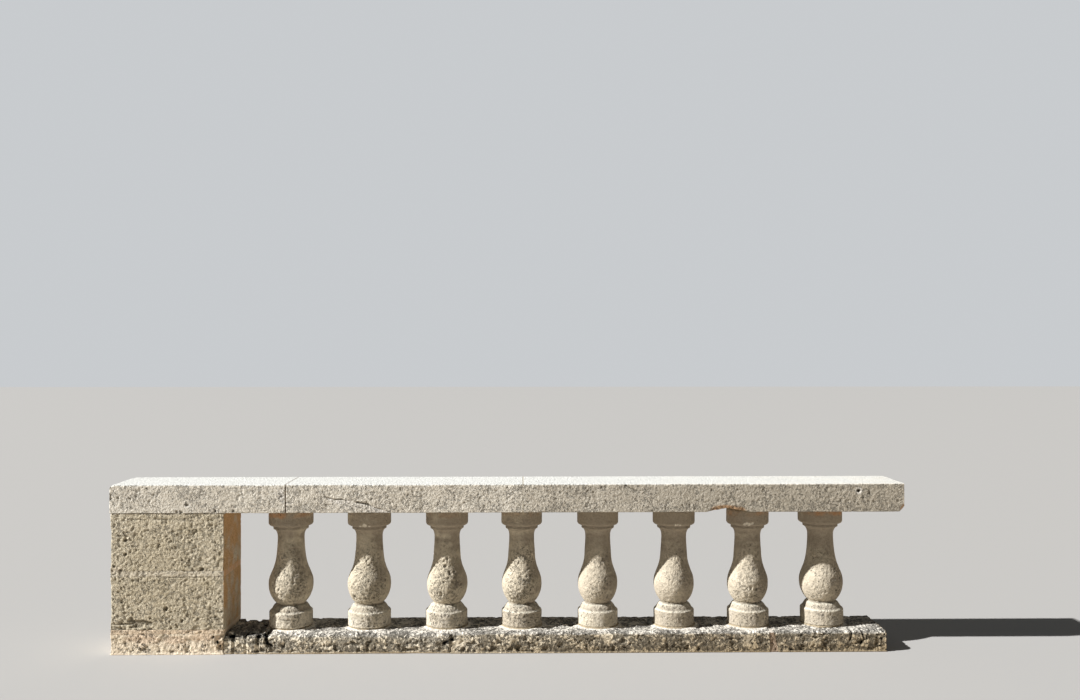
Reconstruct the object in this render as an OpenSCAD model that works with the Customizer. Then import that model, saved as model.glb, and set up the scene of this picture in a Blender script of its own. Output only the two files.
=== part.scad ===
// Stone balustrade: an end pier, a row of turned balusters on a low plinth
// course, and a rail of three long stones whose far end meets a wall.
// Millimetres, +Z up. +X runs along the rail to the wall and -Y is the front.
// The origin is on the ground, under the middle of the rail.

/* [Overall] */
// Length of the rail
rail_length = 4300; // [4280:10:4500]
// Depth of every course, front to back
depth = 345; // [330:5:380]

/* [Rail] */
// Height of the rail's underside above the ground
rail_underside = 760; // [740:2:780]
// Thickness of the rail stones
rail_thickness = 156; // [140:2:180]
// Length of the stone over the pier
end_stone_length = 942; // [900:2:980]
// Length of the middle stone
middle_stone_length = 1275; // [1200:5:1350]
// Width of the upright joints in the rail
rail_joint_width = 6; // [4:1:12]
// Rounding worn on the rail's long edges
rail_edge = 12; // [6:1:20]
// Rounding of the rail's free upper corner
free_corner = 26; // [15:1:40]
// How far the rail's free end stands out over the pier
rail_overhang = 7; // [0:1:12]
// Height of the spall under the wall stone's front edge
spall_height = 24; // [10:1:35]
// Depth of that spall into the stone
spall_depth = 150; // [60:10:170]

/* [Pier] */
// Width of the pier
pier_width = 606; // [560:2:640]
// Height of its base stone
pier_base_height = 110; // [90:2:130]
// Thickness of the mortar bed on the base stone
base_bed = 25; // [15:1:35]
// Height of the lower block
lower_block_height = 284; // [260:2:300]
// Thickness of the mortar bed between the two blocks
middle_bed = 32; // [20:1:40]
// Thickness of the bed under the rail
top_bed = 6; // [4:1:10]
// How far the weather has hollowed the pier's outer end
pier_wear = 12; // [4:1:20]
// Rounding of the pier's upright edges
pier_edge = 8; // [4:1:16]

/* [Plinth course] */
// Height of the plinth course
plinth_height = 116; // [100:2:130]
// How far it stops short of the rail's wall end
plinth_setback = 94; // [60:2:140]
// Length of the rubble filling beside the pier
filler_length = 226; // [210:1:250]
// Length of the first plinth stone
stone_1_length = 985; // [950:5:1020]
// Length of the second plinth stone
stone_2_length = 1734; // [1690:2:1760]
// Width of the first joint, between stones one and two
plinth_joint_1_width = 8; // [6:1:14]
// Width of the second joint at its foot, between stones two and three
plinth_joint_2_width = 47; // [34:1:60]
// Rounding worn on the long upper edges of the second and third stones
plinth_edge = 30; // [20:1:44]
// Rounding worn on those of the first stone and the filling
plinth_nose = 50; // [36:1:56]

/* [Baluster] */
// Distance of the first axis from the rail's free end
first_axis = 939; // [920:1:950]
// Even spacing of the axes
baluster_pitch = 421.6; // [415:0.1:425]
// Diameter of the cap disc
cap_d = 234; // [220:1:240]
// Height of the cap disc's upright side
cap_h = 68; // [50:1:75]
// Diameter of the ring under the cap
cap_ring_d = 185; // [175:1:195]
// Diameter of the neck at its narrowest
neck_d = 139; // [125:1:150]
// Diameter of the belly at its widest
belly_d = 235; // [220:1:240]
// Height of the belly's widest point in the baluster
belly_z = 222; // [210:1:235]
// Diameter of the waist under the belly
waist_d = 152; // [145:1:165]
// Height of the waist in the baluster
waist_z = 122; // [121:1:130]
// Diameter of the foot ring where it stands on the disc
foot_ring_d = 208; // [200:1:212]
// Diameter of the foot disc
foot_d = 237; // [225:1:240]
// Height of the foot disc
foot_h = 82; // [70:1:86]
// Thickness of the mortar at its foot and at its head
baluster_bed = 6; // [4:1:8]

/* [Hidden] */
BALUSTERS = 8;

$fn = 96;
ARC_STEPS = 5;
FLANK_STEPS = 12;
WEAR_STEPS = 8;
// Reach of a cutting shape past the face that it cuts
PAST = 5;

limestone = [0.80, 0.74, 0.63];
pier_limestone = [0.72, 0.66, 0.53];
plinth_limestone = [0.62, 0.57, 0.50];
baluster_limestone = [0.70, 0.64, 0.52];
pink_mortar = [0.74, 0.58, 0.46];
pale_mortar = [0.78, 0.70, 0.56];
grey_mortar = [0.58, 0.53, 0.46];
dark_mortar = [0.45, 0.36, 0.34];

free_end = -rail_length / 2;
wall_end = rail_length / 2;
rail_top = rail_underside + rail_thickness;
pier_outer = free_end + rail_overhang;
pier_inner = pier_outer + pier_width;

// Levels of the pier's beds, from the ground up
base_top = pier_base_height;
lower_block_z = base_top + base_bed;
lower_block_top = lower_block_z + lower_block_height;
upper_block_z = lower_block_top + middle_bed;
upper_block_top = rail_underside - top_bed;

// Places along the rail and along the plinth course
rail_joint_1_x = free_end + end_stone_length;
rail_middle_x = rail_joint_1_x + rail_joint_width;
rail_joint_2_x = rail_middle_x + middle_stone_length;
rail_wall_x = rail_joint_2_x + rail_joint_width;
stone_1_x = pier_inner + filler_length;
plinth_joint_1_x = stone_1_x + stone_1_length;
stone_2_x = plinth_joint_1_x + plinth_joint_1_width;
plinth_joint_2_x = stone_2_x + stone_2_length;
stone_3_x = plinth_joint_2_x + plinth_joint_2_width;
plinth_end = wall_end - plinth_setback;

// How far mortar is raked back from the faces of the stones
flush_rake = 2;
bed_rake = 8;

// Rounding at the foot of the first plinth stone and the filling
nose_foot = 14;
// Rounding of the course's upper edge at the back, which is less worn
back_edge = 12;

// Heights of the mouldings of a baluster, and the levels that follow from them
cap_ring_h = 16;
cap_roll_h = 18;
neck_cove_h = 46;
neck_straight_h = 8;
foot_ring_h = 20;
// How much the foot ring draws in from its foot to its top, on the radius
foot_ring_draw = 15;
foot_ledge_h = 9;
foot_corner = 8;
baluster_height = rail_underside - plinth_height - 2 * baluster_bed;
cap_z = baluster_height - cap_h;
cap_ring_z = cap_z - cap_roll_h - cap_ring_h;
cove_z = cap_ring_z - neck_cove_h;
neck_z = cove_z - neck_straight_h;
bed_inset = 5;

// How far the third stone leans over the wide plinth joint, from foot to top
joint_lean = 25;

// How far each baluster was set beyond the even spacing, towards the wall
hand_set = [0, 12, 21, 14, 16, 19, 10, 8];
// How far each was set behind the middle of the course
hand_back = [0, 0, 0, 0, 0, 0, 0, 36];

// Place of a baluster's axis, counted from 0
function axis_x(i) = free_end + first_axis + i * baluster_pitch + hand_set[i];

// Points on an arc of an ellipse, from angle a0 to a1
function arc(cx, cz, rx, rz, a0, a1) =
    [for (i = [0:ARC_STEPS])
        let (a = a0 + (a1 - a0) * i / ARC_STEPS)
        [cx + rx * cos(a), cz + rz * sin(a)]];

// Outline of a block with a rounding of its own at each corner, anticlockwise
// from the low corner on the left
function block_outline(x0, x1, z0, z1, low_left, low_right, top_right, top_left) =
    concat(
        arc(x0 + low_left, z0 + low_left, low_left, low_left, 180, 270),
        arc(x1 - low_right, z0 + low_right, low_right, low_right, 270, 360),
        arc(x1 - top_right, z1 - top_right, top_right, top_right, 0, 90),
        arc(x0 + top_left, z1 - top_left, top_left, top_left, 90, 180)
    );

// Points down the hollowed outer end of a pier block: half a sine wave deep
function worn_end(z0, z1, wear) =
    [for (i = [0:WEAR_STEPS])
        let (t = i / WEAR_STEPS)
        [pier_outer + wear * sin(180 * t), z1 + (z0 - z1) * t]];

// Rise of the belly from the waist: a sine that starts steeper than its own
function belly_rise(t) = sin(90 * pow(t, 0.8));

// Fall of the shoulder from the belly to the neck: a bell curve that is
// brought to nothing at the neck
function shoulder_fall(t) = (1 - pow(t, 4)) / (1 + pow(t / 0.36, 2.7));

// Half profile of a baluster, as [radius, height], from the foot up
function baluster_profile() =
    let (
        foot = foot_d / 2,
        foot_ring = foot_ring_d / 2,
        waist = waist_d / 2,
        belly = belly_d / 2,
        neck = neck_d / 2,
        ring = cap_ring_d / 2,
        cap = cap_d / 2,
        ring_z = foot_h + foot_ledge_h
    )
    concat(
        [[0, 0], [foot, 0]],
        arc(foot - foot_corner, foot_h - foot_corner, foot_corner, foot_corner, 0, 90),
        [[foot_ring, ring_z], [foot_ring - foot_ring_draw, ring_z + foot_ring_h]],
        [for (i = [0:FLANK_STEPS])
            let (t = i / FLANK_STEPS)
            [waist + (belly - waist) * belly_rise(t), waist_z + (belly_z - waist_z) * t]],
        [for (i = [1:FLANK_STEPS])
            let (t = i / FLANK_STEPS)
            [neck + (belly - neck) * shoulder_fall(t), belly_z + (neck_z - belly_z) * t]],
        arc(ring, cove_z, ring - neck, neck_cove_h, 180, 90),
        [[ring, cap_ring_z + cap_ring_h]],
        arc(ring, cap_z, cap - ring, cap_roll_h, -80, 0),
        [[cap, baluster_height], [0, baluster_height]]
    );

// Solid with the given XZ outline through the whole depth, less a rake
module across(outline, rake = 0) {
    translate([0, depth / 2 - rake, 0])
        rotate([90, 0, 0])
            linear_extrude(depth - 2 * rake) polygon(outline);
}

// Solid with the given YZ section from x0 to x1
module along(x0, x1, section) {
    translate([x0, 0, 0])
        rotate([90, 0, 90])
            linear_extrude(x1 - x0) polygon(section);
}

// Stone of a course from x0 to x1: its long edges are worn by the section,
// its ends by the outline
module course_stone(x0, x1, outline, section) {
    intersection() {
        across(outline);
        along(x0, x1, section);
    }
}

function rail_section() =
    block_outline(
        -depth / 2, depth / 2, rail_underside, rail_top,
        rail_edge / 2, rail_edge / 2, rail_edge, rail_edge
    );

// Section of the plinth course, set back from its faces by a rake
function plinth_section(upper, foot = 4, rake = 0) =
    block_outline(
        -depth / 2 + rake, depth / 2 - rake, 0, plinth_height - rake,
        foot, foot, back_edge, upper
    );

// Slab of mortar in an upright joint, flush below and nearly so on top, and
// raked back from the front and the back
module upright_joint(x0, x1, z0, z1, rake) {
    translate([x0, -depth / 2 + rake, z0])
        cube([x1 - x0, depth - 2 * rake, z1 - flush_rake - z0]);
}

// Bed of mortar in the pier, raked back from all four faces
module pier_bed(z0, z1, rake) {
    translate([pier_outer + rake, -depth / 2 + rake, z0])
        cube([pier_width - 2 * rake, depth - 2 * rake, z1 - z0]);
}

// Block of the pier: outer end hollowed, upright edges rounded
module pier_block(z0, z1, wear) {
    outline = concat(worn_end(z0, z1, wear), [[pier_inner, z0], [pier_inner, z1]]);
    intersection() {
        across(outline);
        translate([0, 0, z0])
            linear_extrude(z1 - z0)
                polygon(block_outline(
                    pier_outer, pier_inner, -depth / 2, depth / 2,
                    pier_edge, pier_edge / 2, pier_edge / 2, pier_edge
                ));
    }
}

module pier_base() {
    upper_corner = plinth_edge / 2;
    outline = block_outline(pier_outer, pier_inner, 0, base_top, 4, 4, 4, upper_corner);
    section = block_outline(
        -depth / 2, depth / 2, 0, base_top, 4, 4, upper_corner, upper_corner
    );
    color(plinth_limestone) course_stone(pier_outer, pier_inner, outline, section);
}

module pier_base_joint() {
    color(pink_mortar) pier_bed(base_top, lower_block_z, flush_rake);
}

module pier_lower_block() {
    color(pier_limestone) pier_block(lower_block_z, lower_block_top, pier_wear);
}

module pier_bed_joint() {
    color(pale_mortar) pier_bed(lower_block_top, upper_block_z, flush_rake);
}

module pier_upper_block() {
    color(pier_limestone) pier_block(upper_block_z, upper_block_top, pier_wear);
}

module pier_top_joint() {
    color(pale_mortar) pier_bed(upper_block_top, rail_underside, flush_rake);
}

// Sum of the first values of a list
function sum_of(list, count) = count == 0 ? 0 : list[count - 1] + sum_of(list, count - 1);

// Rubble bedded together: four lumps with hollows between them
module plinth_filler() {
    // Width of each lump as a share of the filling's length, from the pier on
    lumps = [0.18, 0.34, 0.29, 0.19];
    crown = 22;
    outline = concat(
        [[pier_inner, 0], [stone_1_x, 0]],
        [for (i = [len(lumps) - 1:-1:0])
            let (
                width = filler_length * lumps[i],
                middle = pier_inner + filler_length * sum_of(lumps, i) + width / 2
            )
            each arc(middle, plinth_height - crown, width / 2, crown, 0, 180)]
    );
    color(plinth_limestone)
        course_stone(pier_inner, stone_1_x, outline, plinth_section(plinth_nose, nose_foot));
}

// Chip knocked out of the face at the first plinth joint, slanting across it
module joint_chip() {
    chip_size = [62, 44, 24];
    chip_z = 74;
    chip_slope = 33;
    translate([stone_2_x, -depth / 2, chip_z])
        rotate([0, -chip_slope, 0])
            cube(chip_size, center = true);
}

// Plinth stone one, between the filling and the first joint: a rounded nose,
// worn back at its foot and at the end beside the filling
module plinth_stone_1() {
    outline = block_outline(
        stone_1_x, plinth_joint_1_x, 0, plinth_height, nose_foot, 2, 2, plinth_nose / 2
    );
    color(plinth_limestone) difference() {
        course_stone(
            stone_1_x, plinth_joint_1_x, outline, plinth_section(plinth_nose, nose_foot)
        );
        joint_chip();
    }
}

// Mortar flush with the rounded stone beside it
module plinth_joint_1() {
    color(grey_mortar) difference() {
        along(
            plinth_joint_1_x, stone_2_x, plinth_section(plinth_nose, nose_foot, flush_rake)
        );
        joint_chip();
    }
}

// Plinth stone two, from the first joint to the wide one
module plinth_stone_2() {
    outline = [
        [stone_2_x, 0], [plinth_joint_2_x, 0],
        [plinth_joint_2_x, plinth_height], [stone_2_x, plinth_height]
    ];
    color(plinth_limestone) difference() {
        course_stone(stone_2_x, plinth_joint_2_x, outline, plinth_section(plinth_edge));
        joint_chip();
    }
}

// Wedge of mortar in the wide joint, narrow at the top
module plinth_joint_2() {
    joint_top = plinth_height - bed_rake;
    lean = joint_lean * joint_top / plinth_height;
    outline = [
        [plinth_joint_2_x, 0], [stone_3_x, 0],
        [stone_3_x - lean, joint_top], [plinth_joint_2_x, joint_top]
    ];
    color(dark_mortar) across(outline, bed_rake);
}

// Plinth stone three: weather has opened two upright fissures in its face,
// each given as [place along the stone, width, height from the top]
module plinth_stone_3() {
    fissures = [[390, 8, 56], [467, 7, 66]];
    fissure_depth = 40;
    upper_start = stone_3_x - joint_lean;
    outline = [
        [stone_3_x, 0], [plinth_end, 0],
        [plinth_end, plinth_height], [upper_start, plinth_height]
    ];
    color(plinth_limestone) difference() {
        course_stone(upper_start, plinth_end, outline, plinth_section(plinth_edge));
        for (fissure = fissures)
            translate([
                stone_3_x + fissure[0], -depth / 2 - PAST,
                plinth_height - fissure[2]
            ])
                cube([fissure[1], fissure_depth + PAST, fissure[2] + PAST]);
    }
}

module baluster(i) {
    color(baluster_limestone)
        translate([axis_x(i), hand_back[i], plinth_height + baluster_bed])
            rotate_extrude() polygon(baluster_profile());
}

module foot_bed(i) {
    color(pale_mortar)
        translate([axis_x(i), hand_back[i], plinth_height])
            cylinder(h = baluster_bed, d = foot_d - 2 * bed_inset);
}

module head_bed(i) {
    color(pale_mortar)
        translate([axis_x(i), hand_back[i], rail_underside - baluster_bed])
            cylinder(h = baluster_bed, d = cap_d - 2 * bed_inset);
}

module rail_end_stone() {
    outline = block_outline(
        free_end, rail_joint_1_x, rail_underside, rail_top,
        rail_edge / 2, 2, 4, free_corner
    );
    color(limestone) course_stone(free_end, rail_joint_1_x, outline, rail_section());
}

module rail_joint_1() {
    color(dark_mortar)
        upright_joint(rail_joint_1_x, rail_middle_x, rail_underside, rail_top, bed_rake);
}

module rail_middle_stone() {
    outline = block_outline(
        rail_middle_x, rail_joint_2_x, rail_underside, rail_top, 2, 2, 4, 4
    );
    color(limestone) course_stone(rail_middle_x, rail_joint_2_x, outline, rail_section());
}

module rail_joint_2() {
    color(pale_mortar)
        upright_joint(rail_joint_2_x, rail_wall_x, rail_underside, rail_top, flush_rake);
}

// Rail stone at the wall: spalled under its front edge, and its lower corner
// at the wall is knocked off
module rail_wall_stone() {
    // Places of the spall, counted from the stone's own start
    spall_start = 991;
    spall_peak = 1098;
    spall_end = 1234;
    corner_l = 28;
    corner_h = 34;
    outline = [
        [rail_wall_x, rail_underside], [wall_end - corner_l, rail_underside],
        [wall_end, rail_underside + corner_h], [wall_end, rail_top],
        [rail_wall_x, rail_top]
    ];
    spall = [
        [spall_start, -2 * spall_height], [spall_end, -2 * spall_height],
        [spall_end, 0], [spall_peak, spall_height], [spall_start, 0]
    ];
    // The spall sinks to nothing at its full depth
    spall_slope = atan(spall_height / spall_depth);
    color(limestone) difference() {
        course_stone(rail_wall_x, wall_end, outline, rail_section());
        translate([rail_wall_x, -depth / 2, rail_underside])
            rotate([90 - spall_slope, 0, 0])
                linear_extrude(3 * depth, center = true) polygon(spall);
    }
}

pier_base();
pier_base_joint();
pier_lower_block();
pier_bed_joint();
pier_upper_block();
pier_top_joint();
plinth_filler();
plinth_stone_1();
plinth_joint_1();
plinth_stone_2();
plinth_joint_2();
plinth_stone_3();
for (i = [0:BALUSTERS - 1]) {
    baluster(i);
    foot_bed(i);
    head_bed(i);
}
rail_end_stone();
rail_joint_1();
rail_middle_stone();
rail_joint_2();
rail_wall_stone();
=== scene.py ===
"""Weathered surfaces of a stone balustrade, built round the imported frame.

Each stone, turned baluster and bed of mortar is a surface worked out with numpy from the box
of the solid that it stands for: worn round at its edges, pitted, cracked and chipped, and
dressed in a procedural stone or mortar. Metres, Z up, -Y is the front.
"""
import logging
import math
from dataclasses import dataclass, field, replace
from enum import Enum

import bpy
import numpy as np
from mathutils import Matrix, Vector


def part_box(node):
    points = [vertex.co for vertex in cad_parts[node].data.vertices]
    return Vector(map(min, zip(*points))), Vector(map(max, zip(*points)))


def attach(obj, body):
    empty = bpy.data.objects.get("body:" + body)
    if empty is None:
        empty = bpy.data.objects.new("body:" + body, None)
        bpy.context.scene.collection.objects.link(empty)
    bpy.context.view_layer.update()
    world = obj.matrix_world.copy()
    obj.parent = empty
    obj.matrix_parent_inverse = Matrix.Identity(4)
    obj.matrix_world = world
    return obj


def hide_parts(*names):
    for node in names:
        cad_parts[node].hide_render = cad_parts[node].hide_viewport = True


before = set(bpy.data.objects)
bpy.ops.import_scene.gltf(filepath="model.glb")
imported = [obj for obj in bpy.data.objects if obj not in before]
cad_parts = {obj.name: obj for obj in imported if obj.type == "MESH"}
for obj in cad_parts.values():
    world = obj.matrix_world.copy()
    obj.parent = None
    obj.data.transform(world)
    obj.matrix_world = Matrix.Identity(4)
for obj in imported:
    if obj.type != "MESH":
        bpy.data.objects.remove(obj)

Array = np.ndarray
Socket = bpy.types.NodeSocket

LOG = logging.getLogger("balustrade")
BODY = "root"
BALUSTERS = 8
MM = 0.001
X, Y, Z = 0, 1, 2
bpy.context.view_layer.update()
MAP_NAME = "OFBake"
MAP_MARGIN = 0.01
HIDDEN_SCALE = 0.1
LINE_SAMPLES = 6001
OCTAVE_STRENGTH = 0.55
TINY = 1e-12


class Slot(Enum):
    """Material slots of the record."""

    RAIL = "rail_stone"
    PIER = "pier_stone"
    PLINTH = "plinth_stone"
    BALUSTER = "baluster_stone"
    PALE_MORTAR = "pale_mortar"
    PINK_MORTAR = "pink_mortar"
    GREY_MORTAR = "grey_mortar"
    DARK_MORTAR = "dark_mortar"


class Trace(Enum):
    """Point attributes that a surface carries for its finish."""

    # Darkness of hollows, pits, cracks, creases and lines: soiling and painted shade
    CAVITY = "cavity"
    FRESH = "fresh"
    UPWARD = "upward"
    STAIN = "stain"
    # Soot and soil, and on the balusters painted shade as well
    GRIME_AND_SHADE = "grime"
    ROUGH = "rough"


# Random fields

CELL_CORNERS = np.array([[i, j, k] for i in (0, 1) for j in (0, 1) for k in (0, 1)])
CELL_FACTORS = (73856093, 19349663, 83492791)
SEED_FACTOR = 40503
FOLDS = ((16, 0x7FEB352D), (15, 0x846CA68B), (16, 1))


def cell_value(cell: Array, seed: int) -> Array:
    """Gives each whole-numbered cell a random number from 0 to 1.

    The three indices are multiplied by large odd factors and added, and the sum is folded
    over itself and multiplied a few times.

    Args:
        cell: Whole numbers, (..., 3).
        seed: Another seed gives other numbers.

    Returns:
        Numbers from 0 to 1, one a cell.
    """
    mixed = sum(cell[..., a] * CELL_FACTORS[a] for a in range(3)) + seed * SEED_FACTOR
    code = (mixed & 0xFFFFFFFF).astype(np.uint32)
    for shift, factor in FOLDS:
        code = (code ^ (code >> np.uint32(shift))) * np.uint32(factor)
    return code / 2.0**32


def smooth_noise(points: Array, size: float | Array, seed: int) -> Array:
    """Noise from -1 to 1: random numbers at cell corners, blended by a smooth step.

    Args:
        points: Places, (n, 3).
        size: Edge of a cell, or one edge for each axis.
        seed: Seed of the corners' numbers.

    Returns:
        One number a point.
    """
    scaled = points / size
    base = np.floor(scaled).astype(np.int64)
    part = scaled - base
    part = part * part * (3 - 2 * part)
    total = np.zeros(len(points))
    for corner in CELL_CORNERS:
        weight = np.where(corner == 1, part, 1 - part).prod(axis=1)
        total += weight * cell_value(base + corner, seed)
    return 2 * total - 1


def rough_noise(points: Array, size: float | Array, octaves: int, seed: int) -> Array:
    """Sum of smooth noises, each with half the size and about half the strength of the last.

    Args:
        points: Places, (n, 3).
        size: Cell size of the broadest noise, or one size for each axis.
        octaves: How many noises are added.
        seed: Seed of the first one.

    Returns:
        One number a point, mostly from -1 to 1.
    """
    total = np.zeros(len(points))
    strength, reach = 1.0, 0.0
    for octave in range(octaves):
        total += strength * smooth_noise(points, size / 2**octave, seed + octave)
        reach += strength
        strength *= OCTAVE_STRENGTH
    return total / reach


def shifted(points: Array, size: float, amount: float, seed: int) -> Array:
    """Moves each place by three smooth noises, which makes round marks irregular."""
    moves = [smooth_noise(points, size, seed + axis) for axis in range(3)]
    return points + amount * np.stack(moves, axis=1)


def ramp(value: Array, low: float, high: float) -> Array:
    """Smooth step from 0 where value is low to 1 where it is high."""
    part = np.clip((value - low) / (high - low), 0, 1)
    return part * part * (3 - 2 * part)


def band(value: Array, low: tuple[float, float], high: tuple[float, float]) -> Array:
    """Smooth rise from 0 to 1 over the first range, and fall to 0 over the second."""
    return ramp(value, *low) * (1 - ramp(value, *high))


# Surfaces


def unit(vectors: Array) -> Array:
    """Vectors of length one, or nothing where there is no direction."""
    return vectors / np.maximum(np.linalg.norm(vectors, axis=1, keepdims=True), TINY)


def run_length(line: Array) -> Array:
    """Distance of each point of a line from its start, along the line."""
    return np.concatenate([[0], np.cumsum(np.linalg.norm(np.diff(line, axis=0), axis=1))])


def points_along(line: Array, along: Array, wanted: Array) -> Array:
    """Points of a line over two axes at the wanted distances from its start."""
    return np.stack([np.interp(wanted, along, line[:, axis]) for axis in range(2)], axis=1)


@dataclass
class Skin:
    """Closed surface: points, four-cornered and three-cornered faces, and a flat map.

    Attributes:
        points: Places of the vertices, (n, 3).
        quads: Vertices of each four-cornered face, (m, 4), turning outwards.
        fans: Vertices of each three-cornered face, (k, 3).
        flat: Place on the map of every face corner, quads first.
        traces: Values of each point attribute.
    """

    points: Array
    quads: Array
    fans: Array
    flat: Array
    traces: dict[Trace, Array] = field(default_factory=dict)

    def normals(self) -> Array:
        """Unit normal of each point: the sum of the normals of the faces round it.

        Returns:
            One direction a point.
        """
        total = np.zeros_like(self.points)
        for faces in (self.quads, self.fans):
            if not len(faces):
                continue
            corners = self.points[faces]
            facing = np.cross(corners[:, 2] - corners[:, 0], corners[:, -1] - corners[:, 1])
            for axis in range(3):
                total[:, axis] += np.bincount(
                    faces.ravel(),
                    weights=np.repeat(facing[:, axis], faces.shape[1]),
                    minlength=len(total),
                )
        return unit(total)

    def sink(self, normals: Array, depth: Array) -> None:
        """Takes a depth off the surface at each point, along the given directions."""
        self.points = self.points - normals * depth[:, None]

    def leave(self, trace: Trace, values: Array) -> None:
        """Adds values to a point attribute, which stays from 0 to 1."""
        before = self.traces.get(trace, np.zeros(len(self.points)))
        self.traces[trace] = np.clip(before + values, 0, 1)

    def triangles(self) -> int:
        """Number of triangles that the faces make."""
        return 2 * len(self.quads) + len(self.fans)


@dataclass(frozen=True)
class Pitch:
    """Spacing of the grid lines along one axis.

    Attributes:
        close: Spacing near both ends.
        wide: Spacing between.
        band: How far from each end the close spacing reaches.
    """

    close: float
    wide: float
    band: float

    def lines(self, low: float, high: float) -> Array:
        """Places of the lines, at equal steps of the running sum of one over the spacing.

        Args:
            low: Place of the first line.
            high: Place of the last one.

        Returns:
            The places, in order.
        """
        places = np.linspace(low, high, LINE_SAMPLES)
        from_end = np.minimum(places - low, high - places)
        rate = 1 / np.where(from_end < self.band, self.close, self.wide)
        total = np.concatenate([[0], np.cumsum((rate[1:] + rate[:-1]) / 2 * np.diff(places))])
        count = max(round(total[-1]), 2)
        return np.interp(np.linspace(0, total[-1], count + 1), total, places)


def even(step: float) -> Pitch:
    """The same spacing all along an axis."""
    return Pitch(step, step, 0.0)


@dataclass(frozen=True)
class Grid:
    """How a block's six sides are divided.

    Attributes:
        pitches: Spacing along X, Y and Z.
        rims: Hidden sides, as (axis, 0 for its low side or 1 for its high one), and how many
            rows of squares they keep round the rim. A fan of triangles closes the rest.
    """

    pitches: tuple[Pitch, Pitch, Pitch]
    rims: dict[tuple[int, int], int] = field(default_factory=dict)


def rim_loop(wide: int, tall: int) -> tuple[Array, Array]:
    """Whole-numbered places round the rim of a rectangle, each corner once.

    Args:
        wide: Number of squares along it.
        tall: Number of squares up it.

    Returns:
        The place along and the place up of each point.
    """
    across, up = np.arange(wide), np.arange(tall)
    first = np.concatenate([across, np.full(tall, wide), wide - across, 0 * up])
    second = np.concatenate([0 * across, up, np.full(wide, tall), tall - up])
    return first, second


def box_skin(low: Array, high: Array, grid: Grid) -> Skin:
    """Surface of a box: a grid of squares on each of its six sides, joined at the edges.

    On the flat map the four long sides lie over one another and the ends beside them, and a
    side that is closed by a fan takes little room.

    Args:
        low: Lowest corner.
        high: Highest corner.
        grid: How the sides are divided.

    Returns:
        The surface, with outward faces.
    """
    lines = [pitch.lines(low[a], high[a]) for a, pitch in enumerate(grid.pitches)]
    counts = np.array([len(line) - 1 for line in lines])
    strides = np.array([1, counts[X] + 1, (counts[X] + 1) * (counts[Y] + 1)])
    size = high - low
    margin = MAP_MARGIN * size.max()
    scales = {
        (axis, side): HIDDEN_SCALE if (axis, side) in grid.rims else 1.0
        for axis in range(3)
        for side in range(2)
    }
    corners, below = {}, 0.0
    for key, height in (((Y, 0), Z), ((Z, 1), Y), ((Y, 1), Z), ((Z, 0), Y)):
        corners[key] = (0.0, below)
        below += size[height] * scales[key] + margin
    right = size[X] + margin
    corners[(X, 0)], corners[(X, 1)] = (right, 0.0), (right, size[Z] + margin)
    sheet = np.array([right + size[Y], max(below, 2 * size[Z] + margin)])
    across = {X: (Y, Z), Y: (X, Z), Z: (X, Y)}
    keys, flat, fan_keys, fan_flat, middles = [], [], [], [], []
    for (axis, side), corner in corners.items():
        u, v = (axis + 1) % 3, (axis + 2) % 3
        i, j = np.meshgrid(np.arange(counts[u] + 1), np.arange(counts[v] + 1), indexing="ij")
        index = np.zeros(i.shape + (3,), int)
        index[..., u], index[..., v], index[..., axis] = i, j, side * counts[axis]
        place = np.stack([lines[a][index[..., a]] for a in range(3)], axis=-1)
        spots = np.stack([(place - low)[..., a] for a in across[axis]], axis=-1)
        spots = (spots * scales[(axis, side)] + corner) / sheet
        ring = [(0, 0), (1, 0), (1, 1), (0, 1)]
        if side == 0:
            ring.reverse()
        cut = [(slice(a, counts[u] + a), slice(b, counts[v] + b)) for a, b in ring]
        kept = np.ones((counts[u], counts[v]), bool)
        rim = grid.rims.get((axis, side))
        if rim is not None:
            rim = min(rim, (min(counts[u], counts[v]) - 1) // 2)
            kept[rim : counts[u] - rim, rim : counts[v] - rim] = False
            turn = 1 if side else -1
            loop = tuple(
                line[::turn] + rim for line in rim_loop(counts[u] - 2 * rim, counts[v] - 2 * rim)
            )
            here = (index @ strides)[loop]
            fan_keys.append(np.stack([here, np.roll(here, -1)], axis=1))
            centre = (spots[loop].min(axis=0) + spots[loop].max(axis=0)) / 2
            hub = np.broadcast_to(centre, (len(here), 2))
            fan_flat.append(np.stack([spots[loop], np.roll(spots[loop], -1, axis=0), hub], axis=1))
            middles.append((place[loop].min(axis=0) + place[loop].max(axis=0)) / 2)
        keys.append(np.stack([(index @ strides)[c][kept] for c in cut], axis=1))
        flat.append(np.stack([spots[c][kept] for c in cut], axis=1))
    used, quads = np.unique(np.concatenate(keys), return_inverse=True)
    lattice = (used % strides[1], used // strides[1] % (counts[Y] + 1), used // strides[2])
    points = np.stack([lines[a][lattice[a]] for a in range(3)], axis=1)
    fans = np.zeros((0, 3), int)
    if middles:
        hubs = np.repeat(len(points) + np.arange(len(middles)), [len(k) for k in fan_keys])
        rims = np.searchsorted(used, np.concatenate(fan_keys))
        fans = np.concatenate([rims, hubs[:, None]], axis=1)
        points = np.concatenate([points, middles])
    loose = [part.reshape(-1, 2) for part in (*flat, *fan_flat)]
    return Skin(
        points=points, quads=quads.reshape(-1, 4), fans=fans, flat=np.concatenate(loose)
    )


def front_turns(around: int, bias: float) -> Array:
    """Steps round an axis that are closer in front.

    A step t of the turn becomes t less bias times the sine of a full turn from the front,
    over a full turn, so the steps in front are one minus bias of the usual width.

    Args:
        around: Number of steps.
        bias: From 0 for equal steps to just under 1.

    Returns:
        Shares of a turn from +X, the first of them 0.
    """
    even_turns = np.arange(around + 1) / around
    wave = even_turns - bias * np.sin(2 * np.pi * (even_turns - 0.75)) / (2 * np.pi)
    return (wave[:-1] - wave[0]) / (wave[-1] - wave[0])


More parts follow.
